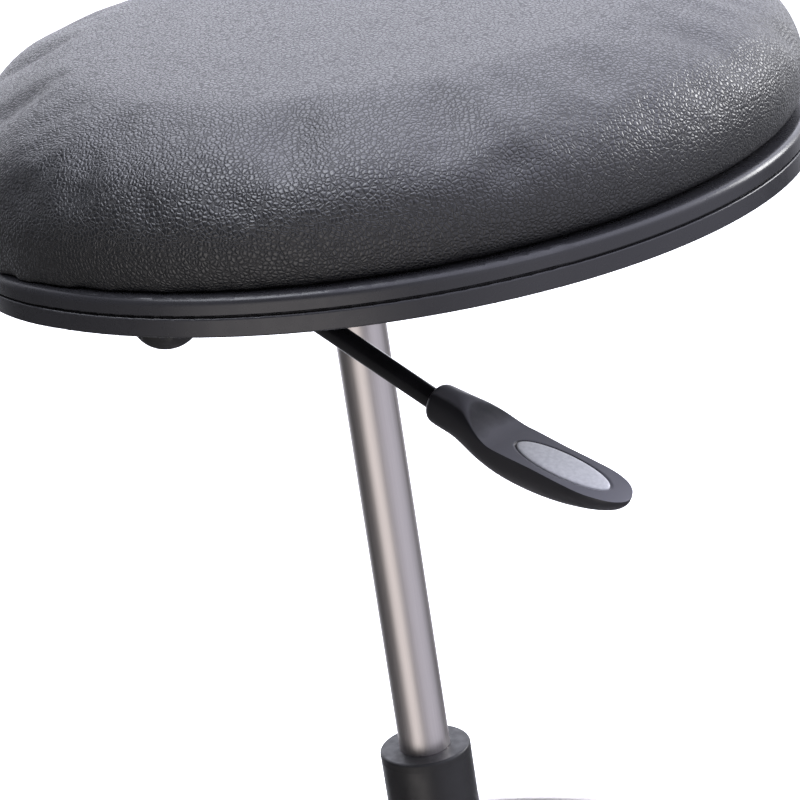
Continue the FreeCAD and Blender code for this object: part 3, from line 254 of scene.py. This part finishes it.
def zinc_steel():
    """Bright zinc-plated steel, slightly mottled."""
    s = Shader("zinc_steel")
    s.colours(s.noise(160.0, 4.0), (0.46, 0.46, 0.45), (0.60, 0.60, 0.58))
    s.rough(s.noise(90.0, 3.0), 0.28, 0.42)
    s.bump(s.noise(700.0, 3.0), 0.03 * MM, 0.3)
    s.set(Metallic=1.0)
    return s.material


def bright_steel():
    """Ground and polished steel of the piston rod and the balls."""
    s = Shader("bright_steel")
    s.colours(s.noise(60.0, 3.0), (0.68, 0.68, 0.69), (0.76, 0.76, 0.77))
    s.rough(s.noise(500.0, 3.0, 0.5, (1.0, 1.0, 6.0)), 0.08, 0.14)
    s.set(Metallic=1.0)
    return s.material


def cast_aluminium():
    """Die-cast aluminium with a tumbled satin surface."""
    s = Shader("cast_aluminium")
    s.colours(s.noise(18.0, 5.0), (0.55, 0.55, 0.56), (0.64, 0.64, 0.65))
    s.rough(s.noise(240.0, 4.0), 0.30, 0.44)
    s.bump(s.noise(900.0, 4.0), 0.05 * MM, 0.35)
    s.set(Metallic=1.0)
    return s.material


def black_steel():
    """Black powder coat with its faint orange-peel surface."""
    s = Shader("black_steel")
    s.colours(s.noise(25.0, 3.0), (0.011, 0.011, 0.012), (0.017, 0.017, 0.018))
    s.rough(s.noise(160.0, 3.0), 0.30, 0.42)
    s.bump(s.noise(620.0, 2.0), 0.06 * MM, 0.45)
    return s.material


def gloss_black_steel():
    """Glossy black enamel of the lever rod, with a few pin marks."""
    s = Shader("gloss_black_steel")
    s.colours(s.noise(60.0, 2.0), (0.010, 0.010, 0.012), (0.015, 0.015, 0.018))
    s.rough(s.noise(130.0, 3.0), 0.14, 0.22)
    s.bump(s.noise(260.0, 2.0), 0.03 * MM, 0.3)
    s.set(Coat_Weight=0.4, Coat_Roughness=0.08)
    return s.material


def plywood():
    """Plies seen on edge, with grain along the board."""
    s = Shader("plywood")
    grain = s.noise(26.0, 6.0, 0.6, (1.0, 9.0, 40.0))
    s.colours(grain, (0.36, 0.22, 0.11), (0.62, 0.43, 0.25))
    s.rough(grain, 0.55, 0.72)
    s.bump(grain, 0.15 * MM, 0.4)
    return s.material


def foam():
    """Open-cell cushion foam."""
    s = Shader("foam")
    pores = s.cells(900.0)
    s.colours(pores, (0.55, 0.50, 0.30), (0.78, 0.74, 0.52), 0.1, 0.7)
    s.bump(pores, 0.3 * MM, 0.8)
    s.set(Roughness=0.9)
    return s.material


def white_acetal():
    """Smooth pale bearing plastic."""
    s = Shader("white_acetal")
    s.colours(s.noise(40.0, 2.0), (0.72, 0.72, 0.70), (0.80, 0.80, 0.78))
    s.rough(s.noise(200.0, 2.0), 0.32, 0.42)
    return s.material


def caster_tread():
    """Caster wheel plastic, scuffed a little where it rolls."""
    s = Shader("caster_tread")
    scuff = s.noise(75.0, 6.0, 0.65)
    s.colours(scuff, (0.014, 0.014, 0.015), (0.034, 0.034, 0.035))
    s.rough(scuff, 0.42, 0.66)
    s.bump(s.noise(800.0, 4.0), 0.06 * MM, 0.4)
    return s.material


def pale_floor():
    """White studio floor that glows a little, so that it stays white under the chair."""
    s = Shader("pale_floor")
    s.colours(s.noise(0.6, 2.0), (0.90, 0.90, 0.90), (0.92, 0.92, 0.92))
    s.set(Roughness=0.9, Specular_IOR_Level=0.1)
    s.set(Emission_Color=(1.0, 1.0, 1.0, 1.0), Emission_Strength=0.80)
    return s.material


MATERIALS = {
    "black_vinyl": black_vinyl(),
    "charcoal_plastic": charcoal_plastic(),
    "black_plastic": black_plastic(),
    "soft_touch_plastic": soft_touch(),
    "grey_inset": grey_inset(),
    "satin_nickel": satin_nickel(),
    "zinc_steel": zinc_steel(),
    "bright_steel": bright_steel(),
    "cast_aluminium": cast_aluminium(),
    "black_steel": black_steel(),
    "gloss_black_steel": gloss_black_steel(),
    "plywood": plywood(),
    "foam": foam(),
    "white_acetal": white_acetal(),
    "caster_tread": caster_tread(),
}


def dress_cad_nodes():
    """Give every CAD node the procedural material of its slot."""
    for part in frame["record"]["subparts"]:
        for slot in NODES[part["node"]].material_slots:
            slot.material = MATERIALS[part["material_slot"]]


# ---------------------------------------------------------------- mesh helpers

def make_piece(name, vertices, faces, slot, body, *replaced):
    """A smooth mesh piece that rides on a CAD body."""
    mesh = bpy.data.meshes.new(name)
    mesh.from_pydata([tuple(v) for v in vertices], [], faces)
    mesh.validate()
    mesh.materials.append(MATERIALS[slot])
    for polygon in mesh.polygons:
        polygon.use_smooth = True
    piece = bpy.data.objects.new(name, mesh)
    bpy.context.scene.collection.objects.link(piece)
    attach(piece, body)
    if replaced:
        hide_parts(*replaced)
    return piece


def loft(rings, close_start=True, close_end=True):
    """Vertices and faces of a skin over rings that all have the same number of points."""
    count = len(rings[0])
    vertices = [point for ring in rings for point in ring]
    faces = []
    for i in range(len(rings) - 1):
        for j in range(count):
            k = (j + 1) % count
            faces.append((i * count + j, i * count + k, (i + 1) * count + k, (i + 1) * count + j))
    last = (len(rings) - 1) * count
    if close_start:
        faces.append(tuple(reversed(range(count))))
    if close_end:
        faces.append(tuple(range(last, last + count)))
    return vertices, faces


def smooth_curve(points, t):
    """Value at t of a smooth cubic through (place, value) points."""
    if t <= points[0][0]:
        return points[0][1]
    for i in range(len(points) - 1):
        x0, y0 = points[i]
        x1, y1 = points[i + 1]
        if t <= x1:
            before = points[i - 1] if i > 0 else (2.0 * x0 - x1, y0)
            after = points[i + 2] if i + 2 < len(points) else (2.0 * x1 - x0, y1)
            m0 = (y1 - before[1]) / (x1 - before[0])
            m1 = (after[1] - y0) / (after[0] - x0)
            span = x1 - x0
            u = (t - x0) / span
            h = u * u * (3.0 - 2.0 * u)
            curve = y0 + (y1 - y0) * h
            lean = span * (m0 * u * (1.0 - u) ** 2 - m1 * u * u * (1.0 - u))
            return curve + lean
    return points[-1][1]


# ---------------------------------------------------------------- pad outlines

def seat_arcs():
    """Right half of the seat outline, from +Y round to -Y, as (end angle, centre, radius) per arc."""
    low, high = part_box("seat_under_cover")
    rear_r, corner_r, main_r = SEAT_RADII
    centre = Vector((0.0, low.y + main_r, 0.0))
    reach = main_r - corner_r
    corner = centre + Vector((math.sin(SEAT_TURN), math.cos(SEAT_TURN), 0.0)) * reach
    rear = Vector((0.0, corner.y - math.sqrt((rear_r - corner_r) ** 2 - corner.x ** 2), 0.0))
    rear_turn = math.atan2(corner.x, corner.y - rear.y)
    return [(rear_turn, rear, rear_r), (SEAT_TURN, corner, corner_r), (math.pi, centre, main_r)]


def back_arcs():
    """Right half of the backrest outline, in the pad's own plane."""
    half_w, half_h = BACK_HALF
    top_r, corner_r, side_r = BACK_RADII
    side = Vector((half_w - side_r, 0.0, 0.0))
    top = Vector((0.0, half_h - top_r, 0.0))
    span = (top - side).length
    along = ((side_r - corner_r) ** 2 - (top_r - corner_r) ** 2 + span ** 2) / (2.0 * span)
    across = math.sqrt((side_r - corner_r) ** 2 - along ** 2)
    axis = (top - side) / span
    corner = side + axis * along + Vector((-axis.y, axis.x, 0.0)) * across
    top_turn = math.atan2(corner.x - top.x, corner.y - top.y)
    side_turn = math.atan2(corner.x - side.x, corner.y - side.y)
    low_corner = Vector((corner.x, -corner.y, 0.0))
    return [
        (top_turn, top, top_r),
        (side_turn, corner, corner_r),
        (math.pi - side_turn, side, side_r),
        (math.pi - top_turn, low_corner, corner_r),
        (math.pi, -top, top_r),
    ]


def mirror(point):
    """The same point on the other side of the chair's middle plane."""
    return Vector((-point.x, point.y, 0.0))


def outline_spokes(arcs, spacing):
    """(centre, radius, direction) at even steps round an outline; a point is centre + direction * radius."""
    half = []
    start = 0.0
    for end, centre, radius in arcs:
        steps = max(2, round((end - start) * radius / spacing))
        for i in range(steps):
            turn = start + (end - start) * i / steps
            half.append((centre, radius, Vector((math.sin(turn), math.cos(turn), 0.0))))
        start = end
    last = arcs[-1]
    half.append((last[1], last[2], Vector((0.0, -1.0, 0.0))))
    mirrored = [(mirror(c), r, mirror(d)) for c, r, d in reversed(half[1:-1])]
    return list(reversed(half + mirrored))


def offset_ring(spokes, inset, height):
    """Outline moved inwards by inset, at one height."""
    return [c + d * (r - inset) + UP * height for c, r, d in spokes]


def inner_ring(spokes, inset, share, height, middle):
    """Ring between the inset outline and the pad's middle, for the top of a cushion."""
    return [middle + (c + d * (r - inset) - middle) * share + UP * height for c, r, d in spokes]


# ---------------------------------------------------------------- cushions

# side profiles as (inset, height) above the rim's top, in metres
SEAT_SIDE = [
    (0.0024, 0.0062), (0.0010, 0.0130), (0.0003, 0.0205), (0.0008, 0.0290), (0.0028, 0.0375),
    (0.0066, 0.0455), (0.0126, 0.0525), (0.0208, 0.0580), (0.0315, 0.0618), (0.0440, 0.0642),
]
BACK_SIDE = [
    (0.0026, 0.0060), (0.0012, 0.0120), (0.0008, 0.0190), (0.0020, 0.0265), (0.0052, 0.0335),
    (0.0106, 0.0395), (0.0185, 0.0442), (0.0285, 0.0476), (0.0400, 0.0498),
]
SEAT_CROWN = 0.0080
BACK_CROWN = 0.0035
SEAT_MIDDLE = Vector((0.0, -0.022, 0.0))
SPOKE_SPACING = 0.006
CROWN_STEPS = 16
TUCK_MIDDLE = 0.0068        # inset of the lower edge, half way along the seat
TUCK_SLOPE = -0.034         # change of that inset per metre towards the rear
TUCK_DEPTH = 0.0100         # how far the skin runs on under the cushion

CLOTH_FRAMES = 20
CLOTH_STIFFNESS = 22.0
CLOTH_BENDING = 1.2
CLOTH_PRESSURE = 2.0
CLOTH_VOXEL = 0.005
CLOTH_HELD_BELOW = 0.004
SEAT_SWELL_LIMIT = 0.006
BACK_SWELL_LIMIT = 0.005


def cushion_rings(spokes, side, crown_rise, middle, tuck):
    """Rings of a crowned cushion: a tucked lower edge, a bulging side and a domed top."""
    top_inset, edge_height = side[-1]
    rings = [inner_ring(spokes, TUCK_DEPTH * 2.0, share, 0.0, middle) for share in (0.25, 0.6, 0.9)]
    rings += tucked_rings(spokes, tuck)
    rings += [offset_ring(spokes, inset, height) for inset, height in side]
    for i in range(1, CROWN_STEPS):
        share = 1.0 - i / CROWN_STEPS
        dome = crown_rise * (1.0 - share ** 2)
        rings.append(inner_ring(spokes, top_inset, share, edge_height + dome, middle))
    return rings


def relax_as_cloth(piece, limit):
    """Swell a cushion as a pressurised cloth skin whose tucked edge stays put, then smooth it."""
    scene = bpy.context.scene
    remesh = piece.modifiers.new("remesh", "REMESH")
    remesh.mode = "VOXEL"
    remesh.voxel_size = CLOTH_VOXEL
    bake_modifiers(piece)
    rest = [v.co.copy() for v in piece.data.vertices]
    group = piece.vertex_groups.new(name="tucked")
    for vertex in piece.data.vertices:
        grip = 1.0 if vertex.co.z < CLOTH_HELD_BELOW else 0.0
        group.add([vertex.index], grip, "REPLACE")
    cloth = piece.modifiers.new("cloth", "CLOTH")
    settings = cloth.settings
    settings.quality = 6
    settings.mass = 0.4
    settings.tension_stiffness = CLOTH_STIFFNESS
    settings.compression_stiffness = CLOTH_STIFFNESS
    settings.bending_stiffness = CLOTH_BENDING
    settings.use_pressure = True
    settings.uniform_pressure_force = CLOTH_PRESSURE
    settings.vertex_group_mass = "tucked"
    settings.effector_weights.gravity = 0.0
    cloth.collision_settings.use_collision = False
    cloth.collision_settings.use_self_collision = False
    cloth.point_cache.frame_start = 1
    cloth.point_cache.frame_end = CLOTH_FRAMES
    for step in range(1, CLOTH_FRAMES + 1):
        scene.frame_set(step)
    bake_modifiers(piece)
    for vertex, start in zip(piece.data.vertices, rest):
        move = vertex.co - start
        if move.length > limit:
            vertex.co = start + move * (limit / move.length)
    scene.frame_set(1)
    settle = piece.modifiers.new("settle", "SMOOTH")
    settle.factor = 0.5
    settle.iterations = 6
    finer = piece.modifiers.new("finer", "SUBSURF")
    finer.levels = 1
    finer.render_levels = 1
    bake_modifiers(piece)


def bake_modifiers(piece):
    """Replace a piece's mesh by its mesh with modifiers applied."""
    graph = bpy.context.evaluated_depsgraph_get()
    graph.update()
    mesh = bpy.data.meshes.new_from_object(piece.evaluated_get(graph))
    old = piece.data
    materials = list(old.materials)
    piece.modifiers.clear()
    piece.data = mesh
    mesh.materials.clear()
    for material in materials:
        mesh.materials.append(material)
    for polygon in mesh.polygons:
        polygon.use_smooth = True
    bpy.data.meshes.remove(old)


def shift_mesh(piece, matrix):
    """Move a piece's mesh from its own frame to its place on the chair."""
    piece.data.transform(matrix)
    piece.data.update()


def tucked_rings(spokes, tuck):
    """Rings of a cushion's lower edge, from deep under it out to where it leaves the rim."""
    rings = []
    for deeper, height in ((TUCK_DEPTH, 0.0), (0.0, 0.0), (-0.34, 0.0008), (-0.62, 0.0028)):
        ring = []
        for c, r, d in spokes:
            inset = tuck(c + d * r)
            inset = inset + deeper if deeper >= 0.0 else inset + deeper * (inset - SEAT_SIDE[0][0])
            ring.append(c + d * (r - inset) + UP * height)
        rings.append(ring)
    return rings


def make_seat_cushion():
    """Round crowned seat cushion that covers most of the rim."""
    rim_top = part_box("seat_rim")[1].z
    spokes = outline_spokes(seat_arcs(), SPOKE_SPACING)
    tuck = lambda p: TUCK_MIDDLE + TUCK_SLOPE * p.y
    rings = cushion_rings(spokes, SEAT_SIDE, SEAT_CROWN, SEAT_MIDDLE, tuck)
    vertices, faces = loft(rings)
    piece = make_piece("seat_cushion", vertices, faces, "black_vinyl", "seat", "seat_upholstery", "seat_foam")
    relax_as_cloth(piece, SEAT_SWELL_LIMIT)
    shift_mesh(piece, Matrix.Translation((0.0, 0.0, rim_top)))
    return piece


def back_frame():
    """Matrix from the backrest pad's own frame, lip bottom at z = 0, to the chair."""
    flat = Matrix.Rotation(-RECLINE, 4, "X") @ Matrix.Rotation(math.radians(90.0), 4, "X")
    local = flat.inverted()
    points = [local @ v.co for v in NODES["back_cover"].data.vertices]
    lowest = Vector([min(p[i] for p in points) for i in range(3)])
    highest = Vector([max(p[i] for p in points) for i in range(3)])
    middle = Vector(((lowest.x + highest.x) / 2.0, (lowest.y + highest.y) / 2.0, lowest.z))
    return flat @ Matrix.Translation(middle)


RIM_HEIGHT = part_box("seat_rim")[1].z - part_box("seat_under_cover")[0].z


def make_back_cushion():
    """Backrest cushion, crowned forward."""
    spokes = outline_spokes(back_arcs(), SPOKE_SPACING)
    rings = cushion_rings(spokes, BACK_SIDE, BACK_CROWN, Vector((0.0, 0.0, 0.0)), lambda p: TUCK_MIDDLE)
    vertices, faces = loft(rings)
    piece = make_piece("back_cushion", vertices, faces, "black_vinyl", "back", "back_upholstery", "back_foam")
    relax_as_cloth(piece, BACK_SWELL_LIMIT)
    shift_mesh(piece, back_frame() @ Matrix.Translation((0.0, 0.0, RIM_HEIGHT)))
    return piece


# ---------------------------------------------------------------- lever handle

HANDLE_LEN = 0.121
SOCKET_R = 0.0105
RAMP_START = 0.010
FLAT_START = 0.048
FLAT_Z = 0.0003
RAMP_LIFT = 0.0015          # the ramp starts this far above the socket, which then hides its start
TIP_START = 0.108
TIP_FALL = 0.0012
EDGE_BLEND = 0.0016
INSET_MIDDLE = 0.0805
INSET_HALF = (0.028, 0.0095)
POCKET_DEPTH = 0.0010
POCKET_MARGIN = 0.0008
POCKET_STEEPNESS = 90.0
AROUND = 160
ALONG = 260
INSET_POINTS = 96

# (distance from the root, size) along the paddle, in metres
HALF_WIDTHS = [
    (0.0, 0.0080), (0.0012, 0.0096), (0.004, 0.0105), (0.02, 0.0118), (0.035, 0.0142), (0.05, 0.0152),
    (0.07, 0.0147), (0.09, 0.0148), (0.102, 0.0142), (0.111, 0.0118), (0.117, 0.0080), (0.120, 0.0038),
    (0.121, 0.0012),
]
UNDERSIDES = [
    (0.0, 0.0080), (0.0012, 0.0096), (0.004, 0.0105), (0.018, 0.0119), (0.036, 0.0178), (0.050, 0.0202),
    (0.068, 0.0203), (0.085, 0.0178), (0.100, 0.0138), (0.111, 0.0101), (0.117, 0.0072), (0.120, 0.0042),
    (0.121, 0.0022),
]
TOPS = [(0.0, 0.0080), (0.0012, 0.0096), (0.004, 0.0105), (0.121, 0.0105)]
# (share of the oval, height above the flat's floor) from the inset's hidden underside to its middle
INSET_EDGE = [
    (1.0, -0.0012), (1.0, 0.0), (0.985, 0.00035), (0.95, 0.0005),
    (0.8, 0.00055), (0.5, 0.0006), (0.2, 0.0006),
]
INSET_SINK = 0.0003


def top_face(x):
    """Height of the paddle's top face: an S-shaped ramp from the round socket down to the flat."""
    u = max(0.0, min(1.0, (x - RAMP_START) / (FLAT_START - RAMP_START)))
    fall = u * u * (3.0 - 2.0 * u)
    tip = max(0.0, (x - TIP_START) / (HANDLE_LEN - TIP_START))
    return FLAT_Z + (SOCKET_R + RAMP_LIFT) * (1.0 - fall) - TIP_FALL * tip * tip


def scoop_height(x, y):
    """Top face with the pocket that the inset lies in."""
    a = (x - INSET_MIDDLE) / (INSET_HALF[0] + POCKET_MARGIN)
    b = y / (INSET_HALF[1] + POCKET_MARGIN)
    inside = 1.0 / (1.0 + math.exp((math.hypot(a, b) - 1.0) * POCKET_STEEPNESS))
    return top_face(x) - POCKET_DEPTH * inside


def soft_min(a, b, width):
    """Smaller of two heights, blended over a narrow width so that the edge is rounded."""
    h = max(0.0, min(1.0, 0.5 + 0.5 * (b - a) / width))
    return b + (a - b) * h - width * h * (1.0 - h)


def make_handle(place):
    """Paddle: round socket, swelling belly and a flat top face with a pocket."""
    rings = []
    for i in range(ALONG + 1):
        x = HANDLE_LEN * (i / ALONG)
        half_w = smooth_curve(HALF_WIDTHS, x)
        under = smooth_curve(UNDERSIDES, x)
        over = smooth_curve(TOPS, x)
        ring = []
        for j in range(AROUND):
            turn = 2.0 * math.pi * j / AROUND
            y = half_w * math.cos(turn)
            z = math.sin(turn)
            z = z * over if z > 0.0 else z * under
            z = soft_min(z, scoop_height(x, y), EDGE_BLEND)
            ring.append(place @ Vector((x, y, z)))
        rings.append(ring)
    vertices, faces = loft(rings)
    return make_piece("lever_paddle", vertices, faces, "soft_touch_plastic", "lever", "lever_handle")


def make_inset(place):
    """Oval inset: a thin plate with a rounded edge, lying in the pocket."""
    rings = []
    for share, lift in INSET_EDGE:
        ring = []
        for j in range(INSET_POINTS):
            turn = 2.0 * math.pi * j / INSET_POINTS
            x = INSET_MIDDLE + share * INSET_HALF[0] * math.cos(turn)
            y = share * INSET_HALF[1] * math.sin(turn)
            ring.append(place @ Vector((x, y, FLAT_Z - INSET_SINK + lift)))
        rings.append(ring)
    vertices, faces = loft(rings)
    return make_piece("lever_inset_plate", vertices, faces, "grey_inset", "lever", "lever_inset")


LEVER_HEADING = math.radians(45.0)
LEVER_DROP = math.radians(23.7)
LEVER_STRAIGHT = 0.1077
# where the rod's straight part begins, measured from the middle of the lip's lower edge
LEVER_BEND = Vector((-0.030, 0.037, -0.0430))
HANDLE_DROP = math.radians(15.8)


def handle_frame():
    """Matrix from the handle's own frame, +X to its tip and +Z up, to the chair."""
    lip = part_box("seat_under_cover")[0].z
    way = Vector((
        -math.cos(LEVER_HEADING) * math.cos(LEVER_DROP),
        -math.sin(LEVER_HEADING) * math.cos(LEVER_DROP),
        -math.sin(LEVER_DROP),
    ))
    root = LEVER_BEND + UP * lip + way * LEVER_STRAIGHT
    turn = Matrix.Rotation(math.pi + LEVER_HEADING, 4, "Z") @ Matrix.Rotation(HANDLE_DROP, 4, "Y")
    return Matrix.Translation(root) @ turn


# ---------------------------------------------------------------- stage, lights and camera

FLOOR_HALF = 14.0
FLOOR_GAP = 0.0005


def make_stage():
    """Pale floor, wide enough to fill the view."""
    corners = [(x * FLOOR_HALF, y * FLOOR_HALF, 0.0) for x, y in ((-1, -1), (1, -1), (1, 1), (-1, 1))]
    mesh = bpy.data.meshes.new("studio_floor")
    mesh.from_pydata(corners, [], [(0, 1, 2, 3)])
    mesh.materials.append(pale_floor())
    floor = bpy.data.objects.new("studio_floor", mesh)
    floor.location.z = -FLOOR_GAP
    floor.visible_diffuse = False
    floor.visible_glossy = False
    bpy.context.scene.collection.objects.link(floor)


AMBIENT = (0.10, 0.10, 0.105)
# (direction, cosine where the glow starts, cosine where it is full, colour and strength)
GLOWS = (
    ((0.15, -0.25, 0.95), 0.30, 0.92, (1.62, 1.64, 2.00)),
    ((1.00, 0.05, 0.30), 0.45, 0.93, (1.70, 1.72, 1.90)),
    ((-0.83, 0.43, -0.34), 0.84, 0.995, (1.20, 1.13, 1.10)),
    ((-0.70, 0.10, -0.70), 0.10, 0.95, (0.14, 0.13, 0.13)),
    ((-0.50, -0.82, 0.05), 0.35, 0.95, (0.62, 0.62, 0.72)),
)


def make_world():
    """White surroundings for the camera, and for the object a studio with a few broad soft glows."""
    world = bpy.data.worlds.new("studio")
    bpy.context.scene.world = world
    world.use_nodes = True
    tree = world.node_tree
    seen = tree.nodes["Background"]
    seen.inputs["Color"].default_value = (1.0, 1.0, 1.0, 1.0)
    seen.inputs["Strength"].default_value = 1.0
    way = tree.nodes.new("ShaderNodeTexCoord").outputs["Generated"]
    total = tree.nodes.new("ShaderNodeCombineXYZ")
    for socket, value in zip(total.inputs, AMBIENT):
        socket.default_value = value
    total = total.outputs[0]
    for direction, start, end, colour in GLOWS:
        dot = vector_math(tree, "DOT_PRODUCT", way, Vector(direction).normalized())
        amount = tree.nodes.new("ShaderNodeMapRange")
        amount.interpolation_type = "SMOOTHSTEP"
        amount.inputs["From Min"].default_value = start
        amount.inputs["From Max"].default_value = end
        tree.links.new(dot.outputs["Value"], amount.inputs["Value"])
        glow = vector_math(tree, "SCALE", None, colour)
        tree.links.new(amount.outputs["Result"], glow.inputs["Scale"])
        joined = vector_math(tree, "ADD", total, None)
        tree.links.new(glow.outputs[0], joined.inputs[1])
        total = joined.outputs[0]
    lit = tree.nodes.new("ShaderNodeBackground")
    tree.links.new(total, lit.inputs["Color"])
    pick = tree.nodes.new("ShaderNodeMixShader")
    tree.links.new(tree.nodes.new("ShaderNodeLightPath").outputs["Is Camera Ray"], pick.inputs["Fac"])
    tree.links.new(lit.outputs[0], pick.inputs[1])
    tree.links.new(seen.outputs[0], pick.inputs[2])
    tree.links.new(pick.outputs[0], tree.nodes["World Output"].inputs["Surface"])


def vector_math(tree, operation, source, value):
    """Vector Math node with one linked and one constant vector, either of which may be left out."""
    node = tree.nodes.new("ShaderNodeVectorMath")
    node.operation = operation
    if source is not None:
        tree.links.new(source, node.inputs[0])
        if value is not None:
            node.inputs[1].default_value = value
    elif value is not None:
        node.inputs[0].default_value = value
    return node


def area_light(name, place, target, width, height, power, colour=(1.0, 1.0, 1.0)):
    """Rectangular soft light aimed at a point."""
    data = bpy.data.lights.new(name, "AREA")
    data.shape = "RECTANGLE"
    data.size = width
    data.size_y = height
    data.energy = power
    data.color = colour
    light = bpy.data.objects.new(name, data)
    light.location = place
    light.rotation_euler = (Vector(target) - Vector(place)).to_track_quat("-Z", "Y").to_euler()
    bpy.context.scene.collection.objects.link(light)


def make_lights():
    """One softbox overhead and one low at the lever's side, which reaches under the seat."""
    seat = (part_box("seat_rim")[0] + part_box("seat_rim")[1]) / 2.0
    area_light("top_softbox", seat + Vector((-0.2, 0.8, 2.2)), seat, 1.6, 1.6, 34.0, (0.93, 0.96, 1.0))
    area_light("side_softbox", seat + Vector((0.9, -2.2, 0.7)), seat, 0.9, 0.9, 32.0)


CAMERA_BACK = 1.5771
CAMERA_ALONG = -0.01483
CAMERA_ABOVE = 0.4551
CAMERA_PITCH = 20.0
CAMERA_ROLL = -8.63
CAMERA_LENS = 143.25


def make_camera():
    """Long-lens view of the lever side of the seat, looking 20 degrees down with the camera rolled."""
    data = bpy.data.cameras.new("camera")
    data.lens = CAMERA_LENS
    data.sensor_width = 36.0
    camera = bpy.data.objects.new("camera", data)
    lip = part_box("seat_under_cover")[0].z
    place = Matrix.Translation((-CAMERA_BACK, CAMERA_ALONG, lip + CAMERA_ABOVE))
    heading = Matrix.Rotation(math.radians(-90.0), 4, "Z")
    aim = heading @ Matrix.Rotation(math.radians(90.0 - CAMERA_PITCH), 4, "X")
    roll = Matrix.Rotation(math.radians(CAMERA_ROLL), 4, "Z")
    camera.matrix_world = place @ aim @ roll
    bpy.context.scene.collection.objects.link(camera)
    bpy.context.scene.camera = camera
    bpy.context.scene.view_settings.view_transform = "Standard"


# ---------------------------------------------------------------- build

dress_cad_nodes()
make_camera()
make_seat_cushion()
make_back_cushion()
HANDLE_PLACE = handle_frame()
make_handle(HANDLE_PLACE)
make_inset(HANDLE_PLACE)
make_stage()
make_world()
make_lights()
